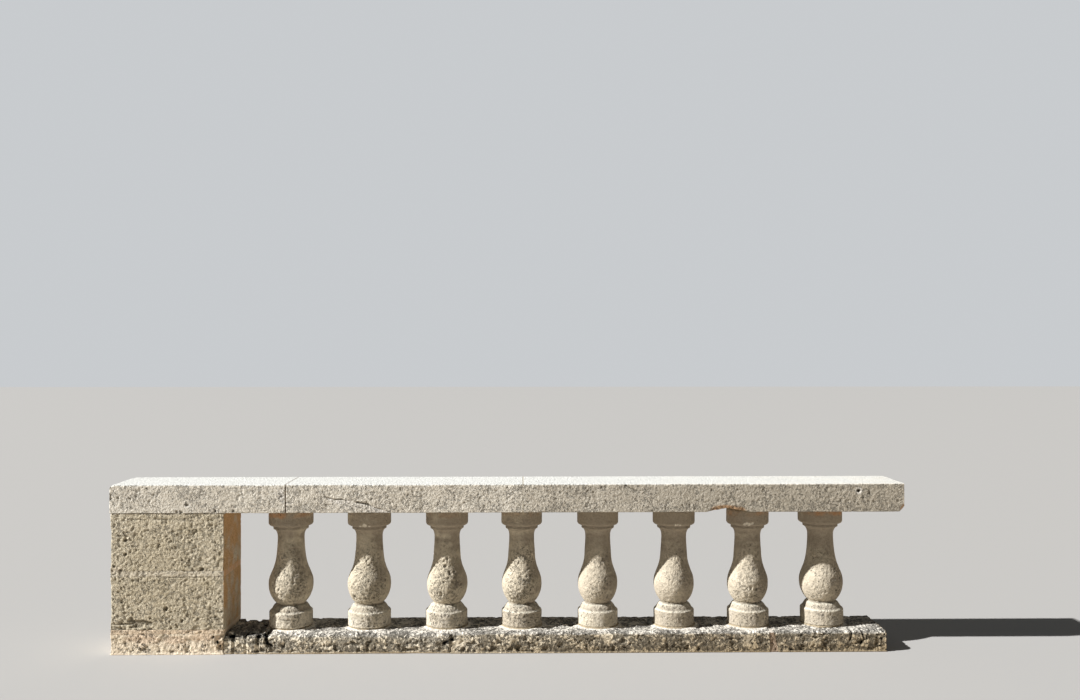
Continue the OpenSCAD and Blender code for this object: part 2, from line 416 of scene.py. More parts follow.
def turned_skin(profile: Array, turns: Array) -> Skin:
    """Surface turned on a lathe: each profile point goes round the Z axis.

    A place is (r cos a, r sin a, z). The first and last profile points lie on the axis, and
    each is one vertex with a fan of triangles round it.

    Args:
        profile: Radius and height from the foot up, (n, 2).
        turns: Steps round the axis as shares of a turn, the first of them 0.

    Returns:
        The surface, with outward faces.
    """
    rings = profile[1:-1]
    count, around = len(rings), len(turns)
    angle = 2 * np.pi * turns
    circle = np.stack([np.cos(angle), np.sin(angle)], axis=1)
    level_rings = np.broadcast_to(rings[:, None, 1:], (count, around, 1))
    body = np.concatenate([rings[:, None, :1] * circle[None], level_rings], axis=2)
    poles = [[0, 0, profile[0, 1]], [0, 0, profile[-1, 1]]]
    points = np.concatenate([body.reshape(-1, 3), poles])
    edge = np.arange(around)
    following = (edge + 1) % around
    ring, step = np.meshgrid(np.arange(count - 1), edge, indexing="ij")
    ring, step = ring.ravel(), step.ravel()
    here, after = ring * around + step, ring * around + following[step]
    quads = np.stack([here, after, after + around, here + around], axis=1)
    last = (count - 1) * around
    pole = np.full(around, count * around)
    foot_fan = np.stack([following, edge, pole], axis=1)
    head_fan = np.stack([last + edge, last + following, pole + 1], axis=1)
    along = run_length(profile)
    level = along / along[-1]
    ends = np.append(turns[1:], 1.0)
    middle = (turns + ends) / 2
    u, v = turns[step], level[1:-1][ring]
    u_next, v_next = ends[step], level[1:-1][ring + 1]
    low, high, full = level[1] + 0 * turns, level[-2] + 0 * turns, 1 + 0 * turns
    maps = (
        ((u, u_next, u_next, u), (v, v, v_next, v_next)),
        ((ends, turns, middle), (low, low, 0 * low)),
        ((turns, ends, middle), (high, high, full)),
    )
    flat = np.concatenate([np.array(part).transpose(2, 1, 0).reshape(-1, 2) for part in maps])
    return Skin(points, quads, np.concatenate([foot_fan, head_fan]), flat)


@dataclass(frozen=True)
class Corners:
    """Radii of the four edges that run along one axis of a block.

    The order is low-low, high-low, high-high, low-high over the two other axes, which come
    in the order X, Y, Z.
    """

    low_low: float
    high_low: float
    high_high: float
    low_high: float

    def radius(self, first_high: Array, second_high: Array) -> Array:
        """Radius at each point, from which half of the two axes it lies in.

        Args:
            first_high: Whether it lies in the high half of the first axis.
            second_high: Whether it lies in the high half of the second one.

        Returns:
            One radius a point.
        """
        return np.where(
            second_high,
            np.where(first_high, self.high_high, self.low_high),
            np.where(first_high, self.high_low, self.low_low),
        )


def round_edges(
    points: Array, low: Array, high: Array, along: int, corners: Corners, wear: Array
) -> Array:
    """Rounds the four edges of a block that run along one axis.

    Over the two other axes each corner is a square as wide as its radius. A point in it
    keeps its direction from the square's inner corner, and its distance becomes its larger
    offset, which turns the square's outer sides into an arc.

    Args:
        points: Places, (n, 3).
        low: Lowest corner of the block.
        high: Highest corner of the block.
        along: Axis that the edges follow.
        corners: Radii of the edges.
        wear: Factor on the radius at each point.

    Returns:
        The moved places.
    """
    pair = [a for a in (X, Y, Z) if a != along]
    flat = points[:, pair]
    middle = (low[pair] + high[pair]) / 2
    radius = (corners.radius(flat[:, 0] > middle[0], flat[:, 1] > middle[1]) * wear)[:, None]
    inner = np.clip(flat, low[pair] + radius, high[pair] - radius)
    offset = flat - inner
    longest = np.abs(offset).max(axis=1, keepdims=True)
    length = np.linalg.norm(offset, axis=1, keepdims=True)
    moved = points.copy()
    moved[:, pair] = inner + offset * longest / np.maximum(length, TINY)
    return moved


# Weather

PATCH_SEED, CHIP_SEED, HOLE_SEED, CRACK_SEED = 53, 57, 61, 911
# Cells of the noise that closes a crack here and there
CLOSED_SIZE = 26 * MM
# Half of the length over which a flake runs out at a crack's end
FLAKE_END = 20 * MM


@dataclass(frozen=True)
class PitLayer:
    """Ragged pits of one size.

    Attributes:
        size: Width of the noise that they are cut from.
        depth: Depth of their floors.
        share: About the share of the surface that they take, from 0 to 0.5.
        patch: Size of the patches in which they gather, or 0 for none.
        stretch: How much longer they are along each axis.
    """

    size: float
    depth: float
    share: float
    patch: float = 0.0
    stretch: tuple[float, float, float] = (1.0, 1.0, 1.0)

    def cut(self, points: Array, seed: int) -> Array:
        """Depth of these pits: full where a bent noise is high, less between the patches.

        Args:
            points: Places, (n, 3).
            seed: Seed of the stone's pits.

        Returns:
            One depth a point.
        """
        spots = shifted(points / self.stretch, self.size, 0.3 * self.size, seed + 10)
        brim = 0.5 - self.share
        depth = self.depth * ramp(rough_noise(spots, self.size, 2, seed), brim, brim + 0.3)
        if self.patch:
            depth *= ramp(smooth_noise(points, self.patch, seed + 20), -0.5, 0.3)
        return depth


@dataclass(frozen=True)
class Weather:
    """What years outdoors take off a stone's surface.

    Attributes:
        swell: Depth of the broad hollows.
        swell_size: Their width along each axis.
        grain: Depth of the fine roughness.
        grain_size: Its width.
        pits: Layers of pits.
    """

    swell: float
    swell_size: tuple[float, float, float]
    grain: float
    grain_size: float
    pits: tuple[PitLayer, ...] = ()

    def cut(self, points: Array, seed: int) -> tuple[Array, Array]:
        """Works out how deep the weather has gone.

        The broad hollows and the grain are noises raised so that they never stand proud,
        and the pits are added to them.

        Args:
            points: Places, (n, 3).
            seed: Seed of this stone.

        Returns:
            Depth in metres, and how dark the pits and the grain are, from 0 to 1.
        """
        broad = rough_noise(points, np.array(self.swell_size), 2, seed)
        fine = 0.5 + 0.5 * rough_noise(points, self.grain_size, 2, seed + 40)
        holes = np.zeros(len(points))
        dark = np.zeros(len(points))
        for number, layer in enumerate(self.pits):
            depth = layer.cut(points, seed + 100 * (number + 1))
            holes = np.maximum(holes, depth)
            dark = np.maximum(dark, depth / layer.depth)
        cavity = np.clip(0.5 * dark + 0.4 * (fine - 0.5), 0, 1)
        return self.swell * (0.5 + 0.5 * broad) + self.grain * fine + holes, cavity

    def pitted(self, share: float) -> "Weather":
        """The same weather, with its pits at a share of their depth."""
        pits = tuple(replace(layer, depth=layer.depth * share) for layer in self.pits)
        return replace(self, pits=pits)


@dataclass(frozen=True)
class Bite:
    """What a mark does at each point.

    Attributes:
        depth: Stone taken off.
        dark: Soiling and painted shade in it, from 0 to 1.
        fresh: Pale, broken or smeared surface, from 0 to 1.
    """

    depth: Array
    dark: Array
    fresh: Array


@dataclass(frozen=True)
class Hole:
    """Roundish hole in the front face, with steep sides.

    Attributes:
        x: Place along the rail.
        z: Height.
        radius: Radius of the mouth.
        depth: Depth.
        halo: How pale the face is round the mouth, from 0 to 1.
    """

    x: float
    z: float
    radius: float
    depth: float
    halo: float = 0.0

    def cut(self, points: Array) -> Bite:
        """Depth of one minus the fourth power of distance over radius, in a pale ring.

        Args:
            points: Places, (n, 3).

        Returns:
            Its depth, darkness and freshness.
        """
        spots = shifted(points, 1.2 * self.radius, 0.35 * self.radius, HOLE_SEED)
        gap = np.hypot(spots[:, X] - self.x, spots[:, Z] - self.z) / self.radius
        bowl = np.clip(1 - gap**4, 0, 1)
        ring = self.halo * ramp(gap, 0.9, 1.2) * (1 - ramp(gap, 1.6, 2.6))
        return Bite(self.depth * bowl, bowl, ring)


@dataclass(frozen=True)
class Crack:
    """Crack in the front face, and the flake that has come off on its lower side.

    Attributes:
        route: Places (x, z) that the crack joins, in order.
        width: Width of each side of the crack.
        depth: Depth of the crack.
        steep: How steep its sides are, from 1 for a plain V.
        ragged: How far the crack wanders from its route.
        flake: Depth of the face that is missing under it.
        fade: Height over which the missing face comes back.
        broken: How much of its length is closed again, from 0 to 1.
    """

    route: tuple[tuple[float, float], ...]
    width: float
    depth: float
    steep: float = 1.0
    ragged: float = 2.5 * MM
    flake: float = 0.0
    fade: float = 0.03
    broken: float = 0.0

    def cut(self, points: Array) -> Bite:
        """Works out the crack and the flake.

        The crack's depth falls off straight from the route, which two noises bend, and is
        cut off at its floor. The flake starts at its full depth under the route and fades
        as an exponential.

        Args:
            points: Places, (n, 3).

        Returns:
            Its depth, darkness and freshness.
        """
        route = np.array(self.route)
        here = shifted(points, 14 * MM, self.ragged, CRACK_SEED)[:, [X, Z]]
        nearest = np.full(len(points), np.inf)
        for start, end in zip(route[:-1], route[1:]):
            span = end - start
            part = np.clip((here - start) @ span / (span @ span), 0, 1)
            off = here - start - part[:, None] * span
            nearest = np.minimum(nearest, np.linalg.norm(off, axis=1))
        groove = np.clip(self.steep * (1 - nearest / self.width), 0, 1)
        closed = 1 - ramp(smooth_noise(points, CLOSED_SIZE, CRACK_SEED + 6), -0.25, 0.15)
        groove = groove * (1 - self.broken * closed)
        order = np.argsort(route[:, 0])
        line = np.interp(here[:, 0], route[order, 0], route[order, 1])
        below = line - here[:, 1]
        start, end = route[:, 0].min(), route[:, 0].max()
        starts, ends = (start - FLAKE_END, start + FLAKE_END), (end - FLAKE_END, end + FLAKE_END)
        inside = band(here[:, 0], starts, ends)
        gone = np.where(below > 0, np.exp(-np.maximum(below, 0) / self.fade), 0) * inside
        # The groove's darkness is painted shade in the crack, and soiling.
        return Bite(self.depth * groove + self.flake * gone, groove, 0.6 * gone * (self.flake > 0))


@dataclass(frozen=True)
class Patch:
    """Pale, worn patch in the front face.

    Attributes:
        x: Place of its middle along the rail.
        z: Height of its middle.
        half_width: Half of its width.
        half_height: Half of its height.
        strength: How pale its middle is, from 0 to 1.
    """

    x: float
    z: float
    half_width: float
    half_height: float
    strength: float

    def cut(self, points: Array) -> Bite:
        """No depth, and a paleness that falls off with distance over the half sizes.

        Args:
            points: Places, (n, 3).

        Returns:
            Its freshness, with no depth or darkness.
        """
        spots = shifted(points, 30 * MM, 8 * MM, PATCH_SEED)
        gap = np.hypot(
            (spots[:, X] - self.x) / self.half_width, (spots[:, Z] - self.z) / self.half_height
        )
        nothing = np.zeros(len(points))
        return Bite(nothing, nothing, self.strength * (1 - ramp(gap, 0.3, 1.0)))


Mark = Hole | Crack | Patch


@dataclass(frozen=True)
class Chip:
    """Place where a lump has been knocked off: a ball that takes the stone inside it.

    Attributes:
        centre: Middle of the ball.
        radius: Its radius.
        depth: Greatest depth that it takes.
        fresh: How fresh the break is, from 0 to 1.
    """

    centre: tuple[float, float, float]
    radius: float
    depth: float
    fresh: float = 1.0

    def cut(self, points: Array) -> tuple[Array, Array]:
        """Depth of the root of one minus distance over radius, squared, and its freshness.

        Args:
            points: Places, (n, 3).

        Returns:
            The depth and the freshness at each point.
        """
        spots = shifted(points, 12 * MM, 0.25 * self.radius, CHIP_SEED)
        gap = ((spots - np.array(self.centre)) ** 2).sum(axis=1) / self.radius**2
        bowl = np.clip(1 - gap, 0, 1)
        return self.depth * np.sqrt(bowl), self.fresh * ramp(bowl, 0.0, 0.3)


# Finishes

STONE_SHEEN = 0.25
# Cells a metre of the noises that every stone and mortar shares
BROAD_CELLS, MIDDLING_CELLS, GATHER_CELLS, MOTTLE_CELLS = 3.1, 17.0, 11.0, 64.0
# How strongly the mottling changes the colour
MOTTLE_STRENGTH = 0.4
# Share of the hollows' darkening, soiling and painted shade, that the fine holes get
HOLE_DIRT_AND_SHADE = 0.6
# Level under which the noise of the holes opens one in smooth stone
HOLE_LEVEL = 0.22


class NodeSheet:
    """Places nodes in a tree and joins them."""

    def __init__(self, tree: bpy.types.NodeTree) -> None:
        """Starts on an empty tree."""
        self.tree = tree

    def place(self, kind: str, **settings: object) -> bpy.types.Node:
        """Adds a shader node.

        Args:
            kind: Its type, without the common prefix.
            settings: Properties to set on it.

        Returns:
            The node.
        """
        node = self.tree.nodes.new("ShaderNode" + kind)
        for name, value in settings.items():
            setattr(node, name, value)
        return node

    def feed(self, target: Socket, value: object) -> None:
        """Joins a socket to another one, or sets a plain value on it.

        Args:
            target: Input socket.
            value: Output socket or plain value.
        """
        if isinstance(value, Socket):
            self.tree.links.new(value, target)
        else:
            target.default_value = value

    def math(self, operation: str, first: object, second: object) -> Socket:
        """Result of a sum, product or like operation on two numbers.

        Args:
            operation: Name of the operation.
            first: Socket or number.
            second: Socket or number.

        Returns:
            The result.
        """
        node = self.place("Math", operation=operation)
        self.feed(node.inputs[0], first)
        self.feed(node.inputs[1], second)
        return node.outputs[0]

    def add(self, first: object, second: object, share: float = 1.0) -> Socket:
        """Sum of a number and a share of another one."""
        return self.math("ADD", first, second if share == 1.0 else self.times(second, share))

    def less(self, first: object, second: object) -> Socket:
        """The first number less the second."""
        return self.math("SUBTRACT", first, second)

    def times(self, first: object, second: object) -> Socket:
        """Product of two numbers."""
        return self.math("MULTIPLY", first, second)

    def ramp(self, value: Socket, low: object, high: object, top: float = 1.0) -> Socket:
        """Smooth step from 0 at low to top at high.

        Args:
            value: The number that is stepped.
            low: Where the step starts.
            high: Where it ends.
            top: What it ends at.

        Returns:
            The result.
        """
        node = self.place("MapRange", interpolation_type="SMOOTHSTEP")
        self.feed(node.inputs["Value"], value)
        self.feed(node.inputs["From Min"], low)
        self.feed(node.inputs["From Max"], high)
        node.inputs["To Max"].default_value = top
        return node.outputs[0]

    def mix(self, share: object, first: object, second: object, way: str = "MIX") -> Socket:
        """Colour between two colours, or their blend in another way.

        Args:
            share: How much of the second colour, from 0 to 1.
            first: Socket or colour.
            second: Socket or colour.
            way: Name of the way they are blended.

        Returns:
            The colour.
        """
        node = self.place("Mix", data_type="RGBA", blend_type=way)
        self.feed(node.inputs[0], share)
        self.feed(node.inputs[6], first)
        self.feed(node.inputs[7], second)
        return node.outputs[2]

    def noise(
        self, where: Socket, scale: object, detail: float, rough: float = 0.5, bend: float = 0.0
    ) -> Socket:
        """Noise from 0 to 1 with the given cells a metre, bent by a share of a cell.

        Args:
            where: Places.
            scale: Cells a metre.
            detail: How many finer noises are added.
            rough: How strong each of them is.
            bend: How far the places are shifted.

        Returns:
            The noise.
        """
        node = self.place("TexNoise")
        self.feed(node.inputs["Vector"], where)
        self.feed(node.inputs["Scale"], scale)
        node.inputs["Detail"].default_value = detail
        node.inputs["Roughness"].default_value = rough
        node.inputs["Distortion"].default_value = bend
        return node.outputs[0]

    def trace(self, trace: Trace) -> Socket:
        """Value of a point attribute."""
        return self.place("Attribute", attribute_name=trace.value).outputs["Fac"]


def display(colour: tuple[int, int, int]) -> tuple[float, float, float, float]:
    """Linear colour of a display colour, by the usual curve of displays.

    Args:
        colour: Red, green and blue from 0 to 255.

    Returns:
        Red, green, blue and an opacity of one.
    """
    shares = [value / 255 for value in colour]
    linear = [s / 12.92 if s <= 0.04045 else ((s + 0.055) / 1.055) ** 2.4 for s in shares]
    return (*linear, 1.0)


COLOUR_INPUTS = ("Light", "Deep", "Bleached", "Fresh", "Stain", "Grime And Shade")
NUMBER_INPUTS = ("Dirt And Shade", "Grain", "Holes", "Hole Share")


@dataclass(frozen=True)
class Finish:
    """Look of one stone or mortar.

    Attributes:
        slot: Material slot of the record.
        colours: Six display colours: most of it, its darker patches, where it faces up,
        where it has broken or mortar is smeared on it, its stains, and where soot, soil
        and painted shade darken it.
        dirt_and_shade: How much its hollows are darkened, by soiling and by painted shade.
        grain: Grains a metre.
        holes: Fine ragged holes a metre.
        hole_share: How much of the roughest stone they take, from 0 to 0.6.
        relief: Depth of the fine relief, in metres.
    """

    slot: Slot
    colours: tuple[tuple[int, int, int], ...]
    dirt_and_shade: float = 0.5
    grain: float = 98.0
    holes: float = 80.0
    hole_share: float = 0.4
    relief: float = 0.004

    def material(self, group: bpy.types.NodeTree) -> bpy.types.Material:
        """Makes the material: the shared stone group, a bump and the shader.

        Args:
            group: The shared node group.

        Returns:
            The material.
        """
        made = bpy.data.materials.new(self.slot.value)
        made.use_nodes = True
        made.node_tree.nodes.clear()
        sheet = NodeSheet(made.node_tree)
        stone = sheet.place("Group")
        stone.node_tree = group
        for name, colour in zip(COLOUR_INPUTS, self.colours):
            stone.inputs[name].default_value = display(colour)
        numbers = (self.dirt_and_shade, self.grain, self.holes, self.hole_share)
        for name, number in zip(NUMBER_INPUTS, numbers):
            stone.inputs[name].default_value = number
        bump = sheet.place("Bump")
        bump.inputs["Distance"].default_value = self.relief
        sheet.feed(bump.inputs["Height"], stone.outputs["Height"])
        shader = sheet.place("BsdfPrincipled")
        shader.inputs["Specular IOR Level"].default_value = STONE_SHEEN
        sheet.feed(shader.inputs["Base Color"], stone.outputs["Color"])
        sheet.feed(shader.inputs["Roughness"], stone.outputs["Roughness"])
        sheet.feed(shader.inputs["Normal"], bump.outputs["Normal"])
        output = sheet.place("OutputMaterial")
        sheet.feed(output.inputs["Surface"], shader.outputs[0])
        return made


def stone_group() -> bpy.types.NodeTree:
    """Builds the node group that every stone and mortar shares.

    The colour goes from light to deep by broad and by middling noise, then takes the grime,
    stain, bleached and fresh colours where the point attributes say; on the balusters the
    grime colour also paints shade. It is darkened, by soiling and by painted shade, in the
    low grains, the fine holes and the hollows, and it is mottled by a noise of its own. The
    fine holes are where a bent noise is low, and they gather where the stone is rough. The
    height is fine grain less the holes.

    Returns:
        The group, with outputs Color, Roughness and Height.
    """
    group = bpy.data.node_groups.new("weathered stone", "ShaderNodeTree")
    plan = group.interface
    for name in COLOUR_INPUTS:
        plan.new_socket(name, in_out="INPUT", socket_type="NodeSocketColor")
    for name in NUMBER_INPUTS:
        plan.new_socket(name, in_out="INPUT", socket_type="NodeSocketFloat")
    plan.new_socket("Color", in_out="OUTPUT", socket_type="NodeSocketColor")
    plan.new_socket("Roughness", in_out="OUTPUT", socket_type="NodeSocketFloat")
    plan.new_socket("Height", in_out="OUTPUT", socket_type="NodeSocketFloat")
    sheet = NodeSheet(group)
    given = group.nodes.new("NodeGroupInput").outputs
    result = group.nodes.new("NodeGroupOutput").inputs
    where = sheet.place("TexCoord").outputs["Object"]

    broad = sheet.noise(where, BROAD_CELLS, 4.0, 0.55)
    middling = sheet.noise(where, MIDDLING_CELLS, 5.0, 0.6)
    patches = sheet.add(sheet.ramp(broad, 0.35, 0.7, 0.6), sheet.ramp(middling, 0.4, 0.75, 0.5))
    colour = sheet.mix(patches, given["Light"], given["Deep"])
    for trace, share, low, high, name in (
        (Trace.GRIME_AND_SHADE, 0.5, 0.3, 1.2, "Grime And Shade"),
        (Trace.STAIN, 0.8, 0.55, 1.2, "Stain"),
        (Trace.UPWARD, 0.5, 0.6, 1.15, "Bleached"),
    ):
        ragged = sheet.add(sheet.trace(trace), middling, share)
        colour = sheet.mix(sheet.ramp(ragged, low, high), colour, given[name])
    colour = sheet.mix(sheet.trace(Trace.FRESH), colour, given["Fresh"])

    rough = sheet.trace(Trace.ROUGH)
    grain = sheet.noise(where, given["Grain"], 4.0, 0.62)
    low_grain = sheet.less(1.0, sheet.ramp(grain, 0.32, 0.64))
    gather = sheet.times(sheet.noise(where, GATHER_CELLS, 2.0), given["Hole Share"])
    level = sheet.add(sheet.times(gather, rough), HOLE_LEVEL)
    mouth = sheet.noise(where, given["Holes"], 3.0, 0.55, 0.7)
    hole = sheet.ramp(sheet.less(level, mouth), -0.03, 0.06)
    # Holes, low grains and hollows are darkened: soiling and painted shade
    loss = sheet.math("MAXIMUM", sheet.trace(Trace.CAVITY), sheet.times(hole, HOLE_DIRT_AND_SHADE))
    grain_dirt_and_shade = sheet.add(sheet.times(rough, 0.25), 0.05)
    loss = sheet.add(loss, sheet.times(low_grain, grain_dirt_and_shade))
    shade = sheet.less(1.0, sheet.times(loss, given["Dirt And Shade"]))
    mottle = sheet.less(sheet.noise(where, MOTTLE_CELLS, 3.0, 0.6), 0.5)
    shade = sheet.add(shade, mottle, MOTTLE_STRENGTH)
    grey = sheet.place("CombineColor")
    for channel in range(3):
        sheet.feed(grey.inputs[channel], shade)
    colour = sheet.mix(1.0, colour, grey.outputs[0], "MULTIPLY")
    sheet.feed(result["Color"], colour)

    sheet.feed(result["Roughness"], sheet.add(sheet.ramp(grain, 0.2, 0.8, 0.14), 0.82))
    lively = sheet.add(sheet.times(rough, 0.6), 0.4)
    sheet.feed(result["Height"], sheet.times(sheet.less(grain, hole), lively))
    return group


FINISHES = (
    Finish(
        Slot.RAIL,
        (
            (229, 222, 208), (209, 200, 184), (220, 219, 213),
            (228, 222, 213), (170, 138, 106), (178, 169, 153),
        ),
        dirt_and_shade=0.45, grain=84.0, hole_share=0.38, relief=0.011,
    ),
    Finish(
        Slot.PIER,
        (
            (212, 201, 178), (190, 177, 150), (214, 206, 188),
            (218, 204, 182), (206, 166, 120), (150, 138, 116),
        ),
        grain=60.0, hole_share=0.36, relief=0.017,
    ),
    Finish(
        Slot.PLINTH,
        (
            (254, 242, 219), (226, 211, 183), (240, 233, 220),
            (230, 208, 182), (110, 92, 72), (178, 160, 130),
        ),
        dirt_and_shade=0.98, grain=60.0, holes=56.0, hole_share=0.6, relief=0.018,
    ),
    # On the balusters the grime colour also paints shade on the side away from the key light and
    # on the foot's tier.
    Finish(
        Slot.BALUSTER,
        (
            (207, 196, 175), (183, 172, 150), (212, 204, 186),
            (224, 216, 200), (186, 142, 104), (158, 147, 131),
        ),
        dirt_and_shade=0.45, grain=64.0, relief=0.012,
    ),
    Finish(
        Slot.PALE_MORTAR,
        (
            (220, 210, 190), (200, 188, 165), (218, 209, 190),
            (220, 205, 176), (220, 172, 124), (160, 146, 122),
        ),
        grain=64.0, relief=0.008,
    ),
    Finish(
        Slot.PINK_MORTAR,
        (
            (234, 214, 188), (212, 190, 162), (224, 206, 182),
            (224, 196, 166), (196, 136, 96), (160, 138, 114),
        ),
        relief=0.006,
    ),
    Finish(
        Slot.GREY_MORTAR,
        (
            (234, 223, 200), (206, 192, 166), (232, 226, 213),
            (196, 176, 152), (110, 92, 72), (130, 117, 100),
        ),
        dirt_and_shade=0.7, grain=56.0, relief=0.02,
    ),
    Finish(
        Slot.DARK_MORTAR,
        (
            (160, 140, 120), (134, 116, 98), (206, 198, 187),
            (168, 146, 130), (90, 72, 60), (104, 88, 78),
        ),
        relief=0.007,
    ),
)


# Making pieces


def box_of(node: str) -> tuple[Array, Array]:
    """Lowest and highest corner of a solid of the frame."""
    low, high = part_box(node)
    return np.array(low), np.array(high)


def stand_in(name: str, skin: Skin, material: bpy.types.Material) -> None:
    """Turns a surface into a piece that stands for a solid of the frame.

    Args:
        name: Name of the solid.
        skin: The surface.
        material: Its material.
    """
    mesh = bpy.data.meshes.new(name)
    mesh.vertices.add(len(skin.points))
    mesh.vertices.foreach_set("co", skin.points.astype(np.float32).ravel())
    corners = np.concatenate([skin.quads.ravel(), skin.fans.ravel()])
    mesh.loops.add(len(corners))
    mesh.loops.foreach_set("vertex_index", corners.astype(np.int32))
    quad_ends = 4 * len(skin.quads)
    fan_starts = quad_ends + 3 * np.arange(len(skin.fans))
    starts = np.concatenate([np.arange(0, quad_ends, 4), fan_starts])
    mesh.polygons.add(len(starts))
    mesh.polygons.foreach_set("loop_start", starts.astype(np.int32))
    mesh.polygons.foreach_set("use_smooth", np.ones(len(starts), bool))
    mesh.update(calc_edges=True)
    layer = mesh.uv_layers.new(name=MAP_NAME)
    layer.data.foreach_set("uv", skin.flat.astype(np.float32).ravel())
    for trace, values in skin.traces.items():
        attribute = mesh.attributes.new(trace.value, "FLOAT", "POINT")
        attribute.data.foreach_set("value", values.astype(np.float32))
    mesh.materials.append(material)
    piece = bpy.data.objects.new(f"worn_{name}", mesh)
    bpy.context.scene.collection.objects.link(piece)
    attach(piece, BODY)
    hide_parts(name)


@dataclass(frozen=True)
class Shop:
    """What every sub-assembly needs to dress its pieces.

    Attributes:
        materials: Material of each slot.
    """

    materials: dict[Slot, bpy.types.Material]

    def dress(self, name: str, skin: Skin, slot: Slot) -> None:
        """Makes a piece of a surface in the slot's material and reports it."""
        stand_in(name, skin, self.materials[slot])
        LOG.info("%s: %d triangles", name, skin.triangles())


@dataclass(frozen=True)
class Edges:
    """Radii of a block's edges along each axis.

    Attributes:
        along_x: Edges that run along X, over Y and Z.
        along_y: Edges that run along Y, over X and Z.
        along_z: Edges that run along Z, over X and Y.
    """

    along_x: Corners
    along_y: Corners
    along_z: Corners


def same(radius: float) -> Corners:
    """Four edges of one radius."""
    return Corners(radius, radius, radius, radius)


# Cells of the noise by which a block's worn edges vary
WANDER_SIZE = 0.09
# How near to a joint a point belongs to it, and how squarely a hidden face looks across it
JOINT_REACH, JOINT_FACING = 3 * MM, 0.999
# How far behind the front a mark still shows, and where it has faded out
FRONT_FULL, FRONT_GONE = 45 * MM, 90 * MM
# Ends of a long stone nearer to the middle of the run than this meet a joint
JOINTS_WITHIN = 2.0


def block_skin(
    low: Array, high: Array, grid: Grid, edges: Edges, wander: float, seed: int
) -> Skin:
    """Surface of a block with worn edges.

    Args:
        low: Lowest corner.
        high: Highest corner.
        grid: How its sides are divided.
        edges: Radii of its edges.
        wander: How much a radius varies from place to place, as a share of it.
        seed: Seed of that.

    Returns:
        The surface.
    """
    skin = box_skin(low, high, grid)
    wear = 1 + wander * rough_noise(skin.points, WANDER_SIZE, 2, seed)
    for axis, corners in ((X, edges.along_x), (Y, edges.along_y), (Z, edges.along_z)):
        skin.points = round_edges(skin.points, low, high, axis, corners, wear)
    return skin


def jointed_normals(skin: Skin, axis: int, ends: tuple[float, ...]) -> Array:
    """Normals of a stone that meets its neighbours across joints.

    At a joint the arris looks straight out, so that stones of one seed stay level with one
    another, and the hidden face has no direction, so that nothing is taken off it.

    Args:
        skin: The stone's surface.
        axis: Axis that the joints cross.
        ends: Where the joints are along it.

    Returns:
        One direction a point.
    """
    normals = skin.normals()
    close = np.abs(skin.points[:, axis, None] - np.array(ends)).min(axis=1) < JOINT_REACH
    hidden = close & (np.abs(normals[:, axis]) > JOINT_FACING)
    normals[close, axis] = 0
    normals[hidden] = 0
    return unit(normals)


def erode(
    skin: Skin,
    weather: Weather,
    seed: int,
    shelter: Array | float = 1.0,
    rough: float = 1.0,
    normals: Array | None = None,
) -> None:
    """Takes the weather's depth off a surface, along its normals.

    Args:
        skin: The surface, which is changed.
        weather: What the weather takes.
        seed: Seed of this stone.
        shelter: Factor on the depth at each point, from 0 where nothing is taken.
        rough: How rough the stone is where it has no shelter, from 0 to 1.
        normals: Directions to take it along, or none for the surface's own.
    """
    normals = skin.normals() if normals is None else normals
    depth, cavity = weather.cut(skin.points, seed)
    skin.leave(Trace.UPWARD, np.clip(normals[:, Z], 0, 1))
    skin.leave(Trace.CAVITY, cavity * shelter)
    skin.leave(Trace.ROUGH, rough * shelter)
    skin.sink(normals, depth * shelter)


def nick_arrises(skin: Skin, normals: Array, layer: PitLayer, seed: int) -> None:
    """Knocks pits out of the edges, which are where the normals lie between the axes.

    Args:
        skin: The surface, which is changed.
        normals: Its normals.
        layer: The pits.
        seed: Their seed.
    """
    slant = ramp(1 - np.abs(normals).max(axis=1), 0.03, 0.2)
    depth = layer.cut(skin.points, seed) * slant
    skin.sink(normals, depth)
    skin.leave(Trace.CAVITY, 0.5 * depth / layer.depth)


def mark_front(skin: Skin, normals: Array, marks: tuple[Mark, ...]) -> None:
    """Cuts marks into the face that looks to the front, and over its upper edge.

    Args:
        skin: The surface, which is changed.
        normals: Its normals, which say where it looks to the front or up.
        marks: The holes, cracks and patches.
    """
    front = skin.points[:, Y].min()
    near = 1 - ramp(skin.points[:, Y] - front, FRONT_FULL, FRONT_GONE)
    facing = near * ramp(np.maximum(-normals[:, Y], normals[:, Z]), 0.3, 0.7)
    for mark in marks:
        bite = mark.cut(skin.points)
        skin.sink(normals, bite.depth * facing)
        skin.leave(Trace.CAVITY, bite.dark * facing)
        skin.leave(Trace.FRESH, bite.fresh * facing)


def chip_off(skin: Skin, normals: Array, chips: tuple[Chip, ...]) -> None:
    """Knocks chips off a surface, along its normals.

    Args:
        skin: The surface, which is changed.
        normals: Its normals.
        chips: The chips.
    """
    for chip in chips:
        depth, share = chip.cut(skin.points)
        skin.sink(normals, depth)
        skin.leave(Trace.FRESH, share)


def joint_places(low: Array, high: Array) -> tuple[float, ...]:
    """Where a long stone meets a joint, at one end or at both."""
    return tuple(end for end in (low[X], high[X]) if abs(end) < JOINTS_WITHIN)


def from_axes(points: Array, axes: Array) -> Array:
    """Distance on the flat from each point to the nearest baluster's axis."""
    return np.linalg.norm(points[:, None, :2] - axes, axis=2).min(axis=1)


def window(
    points: Array, low: tuple[float, float], high: tuple[float, float], soft: float
) -> Array:
    """One inside a rectangle over X and Z, falling smoothly to nothing round it.

    Args:
        points: Places, (n, 3).
        low: Its lowest corner.
        high: Its highest corner.
        soft: Distance over which it falls.

    Returns:
        A share from 0 to 1 a point.
    """
    shares = [
        band(points[:, axis], (start - soft, start), (end, end + soft))
        for axis, start, end in zip((X, Z), low, high)
    ]
    return shares[0] * shares[1]


# Sub-assemblies


